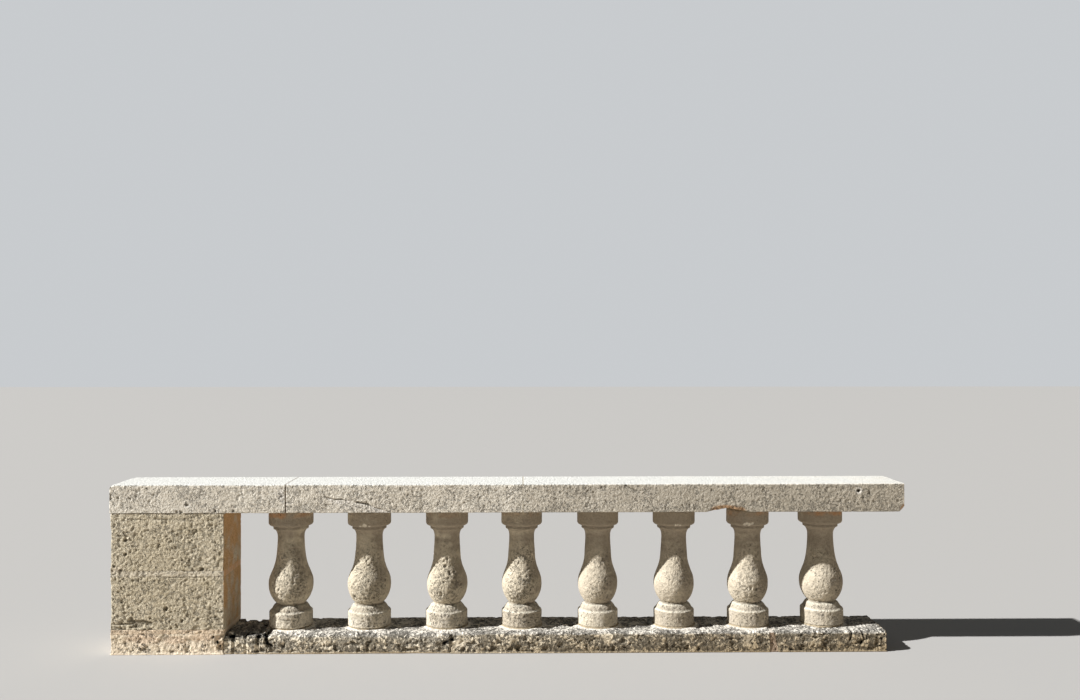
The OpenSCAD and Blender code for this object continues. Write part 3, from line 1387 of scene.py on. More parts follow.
@dataclass
class Rail:
    """The three long stones of the rail and the two joints between them."""

    shop: Shop
    axes: Array
    seed: int = 11
    grid: Grid = Grid(
        (Pitch(1.2 * MM, 4.9 * MM, 2.4 * MM), Pitch(5 * MM, 15 * MM, 22 * MM), even(4.3 * MM))
    )
    joint_grid: Grid = Grid(
        (even(2 * MM), Pitch(4 * MM, 12 * MM, 20 * MM), even(4 * MM)), {(X, 0): 3, (X, 1): 3}
    )
    top_edge: float = 10 * MM
    low_edge: float = 3 * MM
    free_corner: float = 26 * MM
    butt_edge: float = 1 * MM
    cap_radius: float = 117 * MM
    spall_start: float = 991 * MM
    spall_peak: float = 1098 * MM
    spall_end: float = 1234 * MM
    spall_height: float = 24 * MM
    spall_depth: float = 150 * MM
    corner_length: float = 28 * MM
    corner_height: float = 34 * MM
    break_band: float = 80 * MM
    crumble: float = 3 * MM
    crumble_size: float = 18 * MM
    soot_places: tuple[float, ...] = (-2.15, -1.2, 0.05, 0.1, 2.15)
    soot_levels: tuple[float, ...] = (0.0, 0.1, 0.3, 0.5, 1.0)
    dull_places: tuple[float, float] = (-0.6, 2.15)
    dull_level: float = 0.3
    joint_proud: float = 1.5 * MM
    joint_edge: float = 1 * MM
    joint_weather: Weather = Weather(0.8 * MM, (0.05, 0.05, 0.05), 0.8 * MM, 8 * MM)
    weather: Weather = Weather(
        swell=2.2 * MM, swell_size=(0.24, 0.2, 0.12), grain=2.2 * MM, grain_size=12 * MM,
        pits=(
            PitLayer(11 * MM, 2.6 * MM, 0.3, 0.13),
            PitLayer(20 * MM, 2.8 * MM, 0.2, 0.2),
        ),
    )
    nicks: PitLayer = PitLayer(24 * MM, 4 * MM, 0.25, 0.2)
    end_marks: tuple[Mark, ...] = (
        Hole(-1.733, 0.805, 8 * MM, 9 * MM, 0.5),
        Hole(-2.101, 0.844, 7 * MM, 8 * MM),
        Hole(-1.483, 0.772, 7 * MM, 8 * MM),
        Hole(-1.580, 0.772, 7 * MM, 8 * MM),
        Hole(-2.036, 0.839, 6 * MM, 7 * MM),
        Hole(-1.787, 0.769, 9 * MM, 7 * MM),
        Hole(-1.762, 0.767, 9 * MM, 7 * MM),
        Patch(-1.236, 0.865, 26 * MM, 36 * MM, 0.5),
        Patch(-1.222, 0.850, 15 * MM, 80 * MM, 0.7),
    )
    middle_marks: tuple[Mark, ...] = (
        Crack(
            route=(
                (-0.988, 0.846), (-0.934, 0.835), (-0.859, 0.830), (-0.804, 0.813),
                (-0.760, 0.804), (-0.695, 0.782), (-0.640, 0.768),
            ),
            width=5 * MM, depth=5 * MM, ragged=5 * MM, flake=2.5 * MM, fade=30 * MM, broken=0.9,
        ),
        Crack(
            route=((-0.820, 0.820), (-0.749, 0.802)), width=6 * MM, depth=7 * MM,
            steep=1.6, ragged=4 * MM, broken=0.4,
        ),
        Patch(-0.915, 0.811, 42 * MM, 14 * MM, 0.5),
        Patch(-0.716, 0.777, 28 * MM, 12 * MM, 0.5),
    )
    wall_marks: tuple[Mark, ...] = (
        Crack(route=((0.630, 0.909), (0.662, 0.890), (0.694, 0.874)), width=7 * MM, depth=7 * MM),
        Hole(1.899, 0.876, 9 * MM, 14 * MM, 0.8),
    )

    def edges(self, free: bool) -> Edges:
        """Radii of a stone's edges. The free end is worn more than a butted one.

        Args:
            free: Whether its low end is the rail's free end.

        Returns:
            The radii.
        """
        corner = self.free_corner if free else self.butt_edge
        end = self.low_edge if free else self.butt_edge
        butt = self.butt_edge
        return Edges(
            along_x=Corners(self.low_edge, self.low_edge, self.top_edge, self.top_edge),
            along_y=Corners(end, butt, butt, corner),
            along_z=Corners(2 * end, butt, butt, 2 * end),
        )

    def shelter(self, points: Array, normals: Array) -> Array:
        """Factor on the weather: less on the underside and almost none over the balusters.

        Args:
            points: Places, (n, 3).
            normals: Their normals.

        Returns:
            One factor a point, from 0 to 1.
        """
        under = ramp(-normals[:, Z], 0.3, 0.8)
        over = 1 - ramp(from_axes(points, self.axes), self.cap_radius, self.cap_radius + 0.02)
        top = ramp(normals[:, Z], 0.7, 0.98)
        return 1 - under * (0.35 + 0.55 * over) - 0.65 * top

    def stone(self, name: str, free: bool, seed: int, marks: tuple[Mark, ...]) -> Skin:
        """Surface of one rail stone, dirtier and less bleached towards the far end.

        Args:
            name: Its solid.
            free: Whether its low end is the rail's free end.
            seed: Its seed.
            marks: Marks on its front.

        Returns:
            The surface.
        """
        low, high = box_of(name)
        skin = block_skin(low, high, self.grid, self.edges(free), 0.45, seed)
        normals = jointed_normals(skin, X, joint_places(low, high))
        shelter = self.shelter(skin.points, normals)
        erode(skin, self.weather, self.seed, shelter, normals=normals)
        nick_arrises(skin, normals, self.nicks, self.seed + 3)
        mark_front(skin, normals, marks)
        x = skin.points[:, X]
        soot = np.interp(x, self.soot_places, self.soot_levels)
        skin.leave(Trace.GRIME_AND_SHADE, soot * (1 - ramp(normals[:, Z], 0.5, 0.9)))
        dull = np.interp(x, self.dull_places, [0.0, 1.0])
        skin.leave(Trace.UPWARD, -self.dull_level * dull)
        return skin

    def break_wall_stone(self, skin: Skin) -> None:
        """Lifts the underside of the last stone to the spall and the broken corner.

        The lift is full at the underside and falls to nothing over a band above it. The
        spall is a ridge over X that sinks to nothing at its depth. The corner is a slope
        to the stone's end.

        Args:
            skin: The surface, which is changed.
        """
        low, high = box_of("rail_wall_stone")
        x, y, z = skin.points.T
        ridge = np.interp(
            x - low[X],
            [self.spall_start, self.spall_peak, self.spall_end],
            [0, self.spall_height, 0],
        )
        spall = ridge * np.clip(1 - (y - low[Y]) / self.spall_depth, 0, 1)
        slope = np.clip((x - high[X] + self.corner_length) / self.corner_length, 0, 1)
        corner = self.corner_height * slope
        rise = np.maximum(spall, corner)
        crumble = self.crumble * rough_noise(skin.points, self.crumble_size, 2, 77)
        share = np.clip(1 - (z - low[Z]) / self.break_band, 0, 1)
        skin.points[:, Z] += (rise + crumble * ramp(rise, 0, 8 * MM)) * share
        skin.leave(Trace.STAIN, ramp(rise, 1 * MM, 10 * MM) * ramp(share, 0.5, 0.95))

    def joint(self, name: str, seed: int) -> Skin:
        """Surface of the mortar in an upright joint, a little proud on top.

        Args:
            name: Its solid.
            seed: Its seed.

        Returns:
            The surface.
        """
        low, high = box_of(name)
        high[Z] += self.joint_proud
        edge = same(self.joint_edge)
        skin = block_skin(low, high, self.joint_grid, Edges(edge, edge, edge), 0.3, seed)
        erode(skin, self.joint_weather, seed, rough=0.6)
        return skin

    def build(self) -> None:
        """Builds the rail."""
        stones = (
            ("rail_end_stone", True, 11, self.end_marks),
            ("rail_middle_stone", False, 23, self.middle_marks),
            ("rail_wall_stone", False, 37, self.wall_marks),
        )
        for name, free, seed, marks in stones:
            skin = self.stone(name, free, seed, marks)
            if name == "rail_wall_stone":
                self.break_wall_stone(skin)
            self.shop.dress(name, skin, Slot.RAIL)
        self.shop.dress("rail_joint_1", self.joint("rail_joint_1", 5), Slot.DARK_MORTAR)
        self.shop.dress("rail_joint_2", self.joint("rail_joint_2", 6), Slot.PALE_MORTAR)


@dataclass
class Pier:
    """The end pier: a base stone, two blocks and the beds of mortar between them."""

    shop: Shop
    seed: int = 61
    grid: Grid = Grid(
        (even(4.4 * MM), Pitch(5 * MM, 8 * MM, 20 * MM), Pitch(1.2 * MM, 4.3 * MM, 2.4 * MM)),
        {(Z, 0): 6, (Z, 1): 6},
    )
    bed_grid: Grid = Grid(
        (even(5 * MM), Pitch(5 * MM, 8 * MM, 20 * MM), even(4 * MM)), {(Z, 0): 5, (Z, 1): 5}
    )
    outer_wear: float = 5 * MM
    outer_reach: float = 60 * MM
    inner_shelter: float = 0.6
    spare: float = 4 * MM
    outer_edge: float = 9 * MM
    inner_edge: float = 4 * MM
    bed_edge: float = 0.6 * MM
    bed_corner: float = 6 * MM
    bed_proud: float = 1.5 * MM
    base_top: float = 1.5 * MM
    base_foot: float = 5 * MM
    base_corner: float = 10 * MM
    weather: Weather = Weather(
        swell=3.4 * MM, swell_size=(0.18, 0.16, 0.12), grain=3.2 * MM, grain_size=12 * MM,
        pits=(
            PitLayer(11 * MM, 3.6 * MM, 0.35, 0.1),
            PitLayer(20 * MM, 4.2 * MM, 0.25, 0.14),
            PitLayer(44 * MM, 3.5 * MM, 0.15, 0.2),
        ),
    )
    base_weather: Weather = Weather(
        swell=7.0 * MM, swell_size=(0.12, 0.1, 0.06), grain=3.4 * MM, grain_size=14 * MM,
        pits=(PitLayer(16 * MM, 3.6 * MM, 0.3, 0.12), PitLayer(34 * MM, 6.0 * MM, 0.2, 0.15)),
    )
    nicks: PitLayer = PitLayer(24 * MM, 7 * MM, 0.4, 0.14)
    furrows: PitLayer = PitLayer(15 * MM, 8 * MM, 0.45, 0.0, (2.6, 1.0, 1.0))
    furrow_low: tuple[float, float] = (-2.142, 0.135)
    furrow_high: tuple[float, float] = (-1.925, 0.200)
    marks: tuple[Mark, ...] = (
        Hole(-2.062, 0.616, 10 * MM, 12 * MM),
        Hole(-2.062, 0.541, 9 * MM, 12 * MM),
        Hole(-1.880, 0.594, 6 * MM, 7 * MM),
        Hole(-2.121, 0.475, 7 * MM, 8 * MM),
        Hole(-2.089, 0.454, 7 * MM, 8 * MM),
        Hole(-1.651, 0.459, 11 * MM, 14 * MM),
        Hole(-1.844, 0.248, 12 * MM, 15 * MM),
        Hole(-1.758, 0.184, 9 * MM, 12 * MM),
        Crack(
            route=((-2.05, 0.730), (-1.95, 0.727), (-1.73, 0.729)),
            width=5 * MM, depth=5 * MM, ragged=5 * MM, broken=0.8,
        ),
        Crack(
            route=((-1.849, 0.4165), (-1.70, 0.4175), (-1.56, 0.4165)),
            width=4 * MM, depth=4 * MM, ragged=3 * MM, broken=0.7,
        ),
        Patch(-2.111, 0.455, 50 * MM, 26 * MM, 0.8),
    )
    base_marks: tuple[Mark, ...] = (
        Patch(-1.975, 0.090, 125 * MM, 44 * MM, 0.85),
        Patch(-1.800, 0.078, 90 * MM, 30 * MM, 0.75),
        Patch(-1.658, 0.092, 110 * MM, 30 * MM, 0.75),
        Hole(-1.572, 0.066, 9 * MM, 11 * MM),
        Hole(-1.556, 0.040, 10 * MM, 12 * MM),
        Hole(-1.590, 0.096, 7 * MM, 8 * MM),
    )
    base_chips: tuple[Chip, ...] = (
        Chip((-1.548, -0.165, 0.045), 26 * MM, 14 * MM, 0.5),
        Chip((-1.568, -0.172, 0.085), 18 * MM, 9 * MM, 0.6),
        Chip((-1.545, -0.172, 0.098), 16 * MM, 9 * MM, 0.3),
    )

    def worn_box(self, name: str) -> tuple[Array, Array]:
        """Box of a solid, with the stone that the weather takes off its two ends added.

        Args:
            name: The solid.

        Returns:
            Lowest and highest corner.
        """
        low, high = box_of(name)
        low[X] -= self.spare
        high[X] += self.spare
        return low, high

    def block(self, name: str, seed: int) -> Skin:
        """Surface of one block, with its outer end hollowed by half a sine wave.

        It starts a little longer than its solid, because the weather takes as much off it.

        Args:
            name: Its solid.
            seed: Its seed.

        Returns:
            The surface.
        """
        low, high = self.worn_box(name)
        bed = same(self.bed_edge)
        upright = Corners(self.outer_edge, self.inner_edge, self.inner_edge, self.outer_edge)
        skin = block_skin(low, high, self.grid, Edges(bed, bed, upright), 0.6, seed)
        level = (skin.points[:, Z] - low[Z]) / (high[Z] - low[Z])
        outer = 1 - ramp(skin.points[:, X] - low[X], 0, self.outer_reach)
        hollow = self.outer_wear * np.sin(np.pi * np.clip(level, 0, 1)) * outer
        skin.points[:, X] += hollow
        normals = jointed_normals(skin, Z, (low[Z], high[Z]))
        inside = ramp(normals[:, X], 0.3, 0.8)
        before = skin.points
        shelter = 1 - self.inner_shelter * inside
        erode(skin, self.weather, self.seed, shelter, normals=normals)
        nick_arrises(skin, normals, self.nicks, self.seed + 3)
        furrow = self.furrows.cut(before, seed + 5) * ramp(-normals[:, Y], 0.3, 0.8)
        furrow *= window(before, self.furrow_low, self.furrow_high, 15 * MM)
        skin.sink(normals, furrow)
        skin.leave(Trace.CAVITY, 0.8 * furrow / self.furrows.depth)
        mark_front(skin, normals, self.marks)
        blotches = rough_noise(skin.points, np.array([0.06, 0.07, 0.1]), 3, seed + 7)
        skin.leave(Trace.STAIN, inside * (0.4 + 0.5 * skin.points[:, Z] + 0.6 * blotches))
        return skin

    def bed(self, name: str, stain: float = 0.0) -> Skin:
        """Surface of a bed of mortar, worn with the stones over and under it.

        Args:
            name: Its solid.
            stain: How stained its inner end is, from 0 to 1.

        Returns:
            The surface.
        """
        low, high = self.worn_box(name)
        low[:2] -= self.bed_proud
        high[:2] += self.bed_proud
        bed = same(self.bed_edge)
        edges = Edges(bed, bed, same(self.bed_corner))
        skin = block_skin(low, high, self.bed_grid, edges, 0.4, self.seed)
        normals = jointed_normals(skin, Z, (low[Z], high[Z]))
        inside = ramp(normals[:, X], 0.3, 0.8)
        shelter = 1 - self.inner_shelter * inside
        erode(skin, self.weather, self.seed, shelter, normals=normals)
        skin.leave(Trace.STAIN, stain * inside)
        return skin

    def base(self) -> Skin:
        """Surface of the base stone, whose lower half the weather has worn in its own way.

        Returns:
            The surface.
        """
        low, high = self.worn_box("pier_base")
        lying = Corners(self.base_foot, self.base_foot, self.base_top, self.base_top)
        edges = Edges(lying, lying, same(self.base_corner))
        skin = block_skin(low, high, self.grid, edges, 0.7, 51)
        grounded = ramp(skin.points[:, Z], 0, 12 * MM)
        under = 1 - ramp(skin.points[:, Z], 0.07, 0.10)
        normals = jointed_normals(skin, Z, (high[Z],))
        erode(skin, self.weather, self.seed, grounded * (1 - 0.5 * under), 0.5, normals)
        erode(skin, self.base_weather, 51, grounded * under, 0.3, normals)
        mark_front(skin, normals, self.base_marks)
        chip_off(skin, normals, self.base_chips)
        skin.leave(Trace.GRIME_AND_SHADE, 0.1 * (1 - ramp(normals[:, Z], 0.5, 0.9)))
        skin.leave(Trace.FRESH, 0.3 + 0.35 * rough_noise(skin.points, 0.07, 2, 55))
        return skin

    def build(self) -> None:
        """Builds the pier."""
        self.shop.dress("pier_base", self.base(), Slot.PLINTH)
        self.shop.dress("pier_base_joint", self.bed("pier_base_joint"), Slot.PINK_MORTAR)
        self.shop.dress("pier_lower_block", self.block("pier_lower_block", 61), Slot.PIER)
        self.shop.dress("pier_bed_joint", self.bed("pier_bed_joint", 0.6), Slot.PALE_MORTAR)
        self.shop.dress("pier_upper_block", self.block("pier_upper_block", 67), Slot.PIER)
        self.shop.dress("pier_top_joint", self.bed("pier_top_joint"), Slot.PALE_MORTAR)


@dataclass(frozen=True)
class CourseStone:
    """One piece of the plinth course.

    Attributes:
        name: Its solid.
        slot: Its material slot.
        seed: Its seed.
        top: Radius of its long upper edges.
        foot: Radius of its long lower edges.
        left: Radius of the upper edge at its low end.
        lean: How far its low end leans outwards from foot to top; it is leant after the
            weather, so that it meets the mortar beside it in the same relief.
        marks: Marks on its front.
    """

    name: str
    slot: Slot
    seed: int
    top: float
    foot: float = 4 * MM
    left: float = 5 * MM
    lean: float = 0.0
    marks: tuple[Mark, ...] = ()


@dataclass
class PlinthCourse:
    """The low course: rubble beside the pier, three long stones and two joints."""

    shop: Shop
    axes: Array
    grid: Grid = Grid(
        (Pitch(1.5 * MM, 4.7 * MM, 4.5 * MM), Pitch(5 * MM, 11 * MM, 60 * MM), even(4.3 * MM)),
        {(Z, 0): 4},
    )
    joint_grid: Grid = Grid(
        (even(3 * MM), Pitch(5 * MM, 10 * MM, 60 * MM), even(4 * MM)), {(Z, 0): 3}
    )
    foot_radius: float = 118 * MM
    nose: float = 50 * MM
    nose_foot: float = 14 * MM
    upper_edge: float = 30 * MM
    worn_end: float = 25 * MM
    back_edge: float = 12 * MM
    butt_edge: float = 1.5 * MM
    joint_proud: float = 1.5 * MM
    wide_joint_front: float = 5 * MM
    wide_joint_back: float = 4 * MM
    wide_joint_edge: float = 8 * MM
    wide_joint_butt: float = 1 * MM
    seed: int = 79
    lump_shares: tuple[float, ...] = (0.18, 0.34, 0.29, 0.19)
    lump_rows: int = 6
    lump_fall: float = 7 * MM
    crease: float = 9 * MM
    crease_width: float = 21 * MM
    lean: float = 25 * MM
    lean_reach: float = 70 * MM
    soot_places: tuple[float, ...] = (-1.5, -0.3, 0.8, 2.1)
    soot_levels: tuple[float, ...] = (0.05, 0.3, 0.55, 0.72)
    weather: Weather = Weather(
        swell=9.0 * MM, swell_size=(0.13, 0.12, 0.05), grain=5.0 * MM, grain_size=15 * MM,
        pits=(
            PitLayer(13 * MM, 6.0 * MM, 0.38, 0.1, (1.2, 1.0, 1.0)),
            PitLayer(24 * MM, 8.5 * MM, 0.3, 0.15, (1.3, 1.0, 1.0)),
            PitLayer(48 * MM, 8.0 * MM, 0.2, 0.25, (1.4, 1.0, 1.0)),
        ),
    )
    joint_chip: Crack = Crack(
        route=((-0.349, 0.055), (-0.317, 0.074), (-0.286, 0.097)),
        width=20 * MM, depth=6 * MM, steep=0.8, ragged=6 * MM,
    )
    recess: Crack = Crack(
        route=((-1.304, 0.112), (-1.318, 0.086), (-1.311, 0.062), (-1.288, 0.046)),
        width=17 * MM, depth=14 * MM, ragged=5 * MM,
    )
    fissures: tuple[Mark, ...] = (
        Crack(route=((1.843, 0.125), (1.869, 0.106), (1.854, 0.063)), width=7 * MM, depth=12 * MM),
        Crack(route=((1.923, 0.125), (1.932, 0.066), (1.914, 0.040)), width=7 * MM, depth=12 * MM),
        Crack(route=((1.988, 0.122), (1.955, 0.103), (1.941, 0.065)), width=5 * MM, depth=7 * MM),
        Hole(2.038, 0.108, 7 * MM, 8 * MM),
        Hole(2.046, 0.092, 7 * MM, 8 * MM),
        Hole(2.028, 0.071, 7 * MM, 8 * MM),
    )

    def stones(self) -> tuple[CourseStone, ...]:
        """The pieces of the course from the pier on, without the wide joint.

        Returns:
            The pieces, in order.
        """
        nosed = (self.nose, self.nose_foot)
        edge, chip = self.upper_edge, self.joint_chip
        return (
            CourseStone("plinth_filler", Slot.PLINTH, 71, *nosed, marks=(self.recess,)),
            CourseStone(
                "plinth_stone_1", Slot.PLINTH, 73, *nosed, self.worn_end,
                marks=(chip, self.recess),
            ),
            CourseStone("plinth_joint_1", Slot.GREY_MORTAR, 74, *nosed, marks=(chip,)),
            CourseStone("plinth_stone_2", Slot.PLINTH, 79, edge, marks=(chip,)),
            CourseStone(
                "plinth_stone_3", Slot.PLINTH, 83, edge, lean=self.lean, marks=self.fissures
            ),
        )

    def shelter(self, points: Array, normals: Array) -> Array:
        """Factor on the weather: none at the floor, little on top and least at the feet.

        Args:
            points: Places, (n, 3).
            normals: Their normals.

        Returns:
            One factor a point, from 0 to 1.
        """
        top = ramp(normals[:, Z], 0.75, 0.98)
        near = 1 - ramp(from_axes(points, self.axes), self.foot_radius, self.foot_radius + 0.03)
        return ramp(points[:, Z], 0, 10 * MM) * (1 - top * (0.35 + 0.6 * near))

    def lump(self, skin: Skin) -> None:
        """Shapes the rubble: rounded lumps with creases between them.

        A lump's middle stands in the middle of its share of the length, and the lumps of
        one share follow one another through the depth at uneven steps. A point belongs to
        the nearest middle, each lump stands at its own height, and a crease is where the
        two nearest middles are as far away as each other.

        Args:
            skin: The filling's surface, which is changed.
        """
        low, high = box_of("plinth_filler")
        bounds = low[X] + (high[X] - low[X]) * np.concatenate([[0], np.cumsum(self.lump_shares)])
        columns, rows = np.arange(len(self.lump_shares)), np.arange(self.lump_rows)
        column, row = np.meshgrid(columns, rows, indexing="ij")
        cell = np.stack([column, row, 0 * row], axis=-1).reshape(-1, 3)
        middle = ((bounds[1:] + bounds[:-1]) / 2)[cell[:, 0]]
        depth_step = (high[Y] - low[Y]) / (self.lump_rows - 1)
        through = low[Y] + depth_step * (cell[:, 1] + 0.7 * cell_value(cell, 4) - 0.35)
        spots = shifted(skin.points, 30 * MM, 7 * MM, 72)
        gaps = np.hypot(spots[:, X, None] - middle, 0.75 * (spots[:, Y, None] - through))
        order = np.sort(gaps, axis=1)
        crease = 1 - ramp(order[:, 1] - order[:, 0], 0.0, self.crease_width)
        fall = self.lump_fall * cell_value(cell, 5)[gaps.argmin(axis=1)]
        drop = fall + self.crease * crease
        upper = ramp(skin.points[:, Z], 0.03, 0.10)
        outer = np.sign(skin.points[:, Y]) * ramp(np.abs(skin.points[:, Y]), 100 * MM, 165 * MM)
        skin.points[:, Z] -= drop * upper
        skin.points[:, Y] -= 0.9 * drop * outer
        # The creases are darkened as soiling and as painted shade.
        skin.leave(Trace.CAVITY, 0.6 * ramp(crease, 0.45, 1.0) * upper)

    def stone(self, plan: CourseStone) -> Skin:
        """Surface of one piece of the course, dirtier towards the far end.

        Args:
            plan: The piece.

        Returns:
            The surface.
        """
        low, high = box_of(plan.name)
        joint = plan.slot is Slot.GREY_MORTAR
        low[X] += plan.lean
        if joint:
            low[Y] -= self.joint_proud
            high[Y:] += self.joint_proud
        butt = self.butt_edge
        edges = Edges(
            along_x=Corners(plan.foot, plan.foot, self.back_edge, plan.top),
            along_y=Corners(butt, butt, butt, plan.left),
            along_z=same(butt),
        )
        grid = self.joint_grid if joint else self.grid
        skin = block_skin(low, high, grid, edges, 0.35, plan.seed)
        if plan.name == "plinth_filler":
            self.lump(skin)
        normals = jointed_normals(skin, X, joint_places(low, high))
        erode(skin, self.weather, self.seed, self.shelter(skin.points, normals), normals=normals)
        skin.leave(Trace.ROUGH, 0.3 * ramp(normals[:, Z], 0.5, 0.9))
        mark_front(skin, normals, plan.marks)
        soot = np.interp(skin.points[:, X], self.soot_places, self.soot_levels)
        soil = 0.25 * (1 - ramp(skin.points[:, Z], 0.01, 0.06))
        skin.leave(Trace.GRIME_AND_SHADE, (soot + soil) * (1 - ramp(normals[:, Z], 0.4, 0.8)))
        near = 1 - ramp(skin.points[:, X] - low[X], 0, self.lean_reach)
        skin.points[:, X] -= plan.lean * skin.points[:, Z] / high[Z] * near
        return skin

    def wide_joint(self) -> Skin:
        """Surface of the wedge of mortar in the wide joint, narrow at the top.

        Returns:
            The surface.
        """
        low, high = box_of("plinth_joint_2")
        low[Y] -= self.wide_joint_front
        high[Y:] += self.wide_joint_back
        butt = same(self.wide_joint_butt)
        edges = Edges(same(self.wide_joint_edge), butt, butt)
        skin = block_skin(low, high, self.joint_grid, edges, 0.4, 75)
        normals = jointed_normals(skin, X, (low[X], high[X]))
        erode(skin, self.weather, self.seed, self.shelter(skin.points, normals), 0.6, normals)
        share = (skin.points[:, X] - low[X]) / (high[X] - low[X])
        skin.points[:, X] -= self.lean * skin.points[:, Z] / high[Z] * share
        return skin

    def build(self) -> None:
        """Builds the course."""
        for plan in self.stones():
            self.shop.dress(plan.name, self.stone(plan), plan.slot)
        self.shop.dress("plinth_joint_2", self.wide_joint(), Slot.DARK_MORTAR)


@dataclass(frozen=True)
class Turning:
    """How one baluster differs from the pattern.

    Attributes:
        cap: Factor on its cap's radius.
        neck: Factor on its neck's radius.
        belly: Factor on its belly's radius.
        foot: Factor on its foot's radius.
        foot_shift: How far its foot stands to the right of its axis, in metres.
        lean: How far it stands behind its axis at its foot and at its head, in metres.
        pitted: How far the weather has pitted it, from 0 to 1.
        stain: How stained its cap is, from 0 to 1.
        grime: How dirty it is, from 0 to 1.
        pale: How pale its foot is, from 0 to 1.
        lines: How deep the lines turned in it still are, from 0 to 1.
        chips: Lumps knocked off it, placed from its axis and foot.
        holes: Holes in its front, placed in the same way.
    """

    cap: float = 1.0
    neck: float = 1.0
    belly: float = 1.0
    foot: float = 1.0
    foot_shift: float = 0.0
    lean: tuple[float, float] = (0.0, 0.0)
    pitted: float = 0.5
    stain: float = 0.0
    grime: float = 0.2
    pale: float = 0.2
    lines: float = 1.0
    chips: tuple[Chip, ...] = ()
    holes: tuple[Hole, ...] = ()


@dataclass
class BalusterRow:
    """Eight turned balusters on beds of mortar.

    The heights are counted from a baluster's own foot, and those of the cap's band down from
    its head. A band is where one form or colour gives way to the next.
    """

    shop: Shop
    seed: int = 200
    around: int = 120
    bias: float = 0.35
    step: float = 4.7 * MM
    cap: float = 117 * MM
    cap_height: float = 68 * MM
    cap_ring: float = 92.5 * MM
    cap_ring_height: float = 16 * MM
    cap_roll_height: float = 18 * MM
    cove_height: float = 46 * MM
    straight_height: float = 8 * MM
    neck: float = 69.5 * MM
    belly: float = 117.5 * MM
    belly_z: float = 222 * MM
    waist: float = 76 * MM
    waist_z: float = 122 * MM
    foot_ring: float = 104 * MM
    foot_ring_draw: float = 15 * MM
    foot_ring_height: float = 20 * MM
    foot_ledge_height: float = 9 * MM
    foot: float = 118.5 * MM
    foot_height: float = 82 * MM
    foot_corner: float = 8 * MM
    softness: float = 2.2 * MM
    fine_step: float = 0.5 * MM
    groove: float = 3.5 * MM
    groove_width: float = 4.5 * MM
    foot_band: tuple[float, float] = (0.085, 0.12)
    belly_band: tuple[float, float] = (0.33, 0.42)
    cap_band: tuple[float, float] = (0.15, 0.09)
    disc_band: tuple[float, float] = (0.075, 0.085)
    ledge_low: tuple[float, float] = (0.080, 0.088)
    ledge_high: tuple[float, float] = (0.118, 0.126)
    held_foot: float = 10 * MM
    held_head: float = 6 * MM
    bed_around: int = 72
    bed_radii: tuple[float, ...] = (0.0, 0.5, 1.0, 1.03, 1.02, 0.99, 0.5, 0.0)
    bed_sink: float = 8 * MM
    weather: Weather = Weather(
        swell=2.4 * MM, swell_size=(0.09, 0.09, 0.07), grain=2.2 * MM, grain_size=11 * MM,
        pits=(
            PitLayer(11 * MM, 4.4 * MM, 0.36, 0.08),
            PitLayer(17 * MM, 5.6 * MM, 0.28, 0.11),
            PitLayer(34 * MM, 4.5 * MM, 0.15, 0.14),
        ),
    )
    turnings: tuple[Turning, ...] = (
        Turning(1.04, 1.05, 1.04, 1.0, 0.0, pitted=0.95, stain=0.6, grime=0.1, pale=0.35),
        Turning(
            1.02, 1.045, 1.02, 1.0, 0.0, pitted=0.9, grime=0.15, pale=0.35,
            chips=(
                Chip((-0.010, -0.110, 0.560), 15 * MM, 6 * MM),
                Chip((0.014, -0.110, 0.556), 8 * MM, 4 * MM),
                Chip((-0.036, -0.107, 0.556), 8 * MM, 4 * MM),
            ),
            holes=(
                Hole(0.037, 0.165, 7 * MM, 8 * MM), Hole(0.091, 0.180, 8 * MM, 8 * MM),
                Hole(-0.069, 0.165, 7 * MM, 8 * MM),
            ),
        ),
        Turning(
            1.0, 1.005, 0.965, 0.975, -3 * MM, pitted=1.0, stain=0.3, grime=0.15, lines=0.25,
            holes=(Hole(-0.003, 0.332, 9 * MM, 9 * MM),),
        ),
        Turning(0.97, 0.995, 0.95, 0.94, pitted=1.0, stain=0.4, grime=0.2, pale=0.0),
        Turning(
            0.98, 1.0, 0.945, 0.94, pitted=0.38, grime=0.4, pale=0.3,
            holes=(Hole(-0.098, 0.165, 10 * MM, 9 * MM),),
        ),
        Turning(
            1.0, 0.995, 0.955, 0.945, pitted=0.38, grime=0.45, pale=0.0,
            chips=(
                Chip((-0.006, -0.113, 0.557), 7 * MM, 4 * MM),
                Chip((0.007, -0.113, 0.559), 6 * MM, 4 * MM),
                Chip((0.020, -0.112, 0.556), 7 * MM, 4 * MM),
            ),
        ),
        Turning(
            0.995, 1.015, 0.96, 0.97, 2 * MM, pitted=0.65, stain=0.4, grime=0.35, pale=0.0,
            chips=(
                Chip((-0.038, -0.108, 0.560), 9 * MM, 5 * MM),
                Chip((-0.025, -0.111, 0.566), 8 * MM, 5 * MM),
                Chip((-0.012, -0.112, 0.561), 10 * MM, 5 * MM),
                Chip((0.004, -0.113, 0.567), 8 * MM, 5 * MM),
                Chip((-0.022, -0.107, 0.210), 10 * MM, 5 * MM, 0.1),
                Chip((0.000, -0.110, 0.216), 12 * MM, 5 * MM, 0.1),
                Chip((0.024, -0.106, 0.211), 14 * MM, 6 * MM, 0.1),
                Chip((0.047, -0.098, 0.215), 10 * MM, 5 * MM, 0.1),
            ),
            holes=(Hole(0.030, 0.203, 7 * MM, 7 * MM), Hole(-0.004, 0.206, 5 * MM, 6 * MM)),
        ),
        Turning(
            1.04, 1.015, 1.025, 1.0, 2 * MM, (-20 * MM, 12 * MM),
            pitted=0.5, stain=0.6, grime=0.4, pale=0.05,
        ),
    )

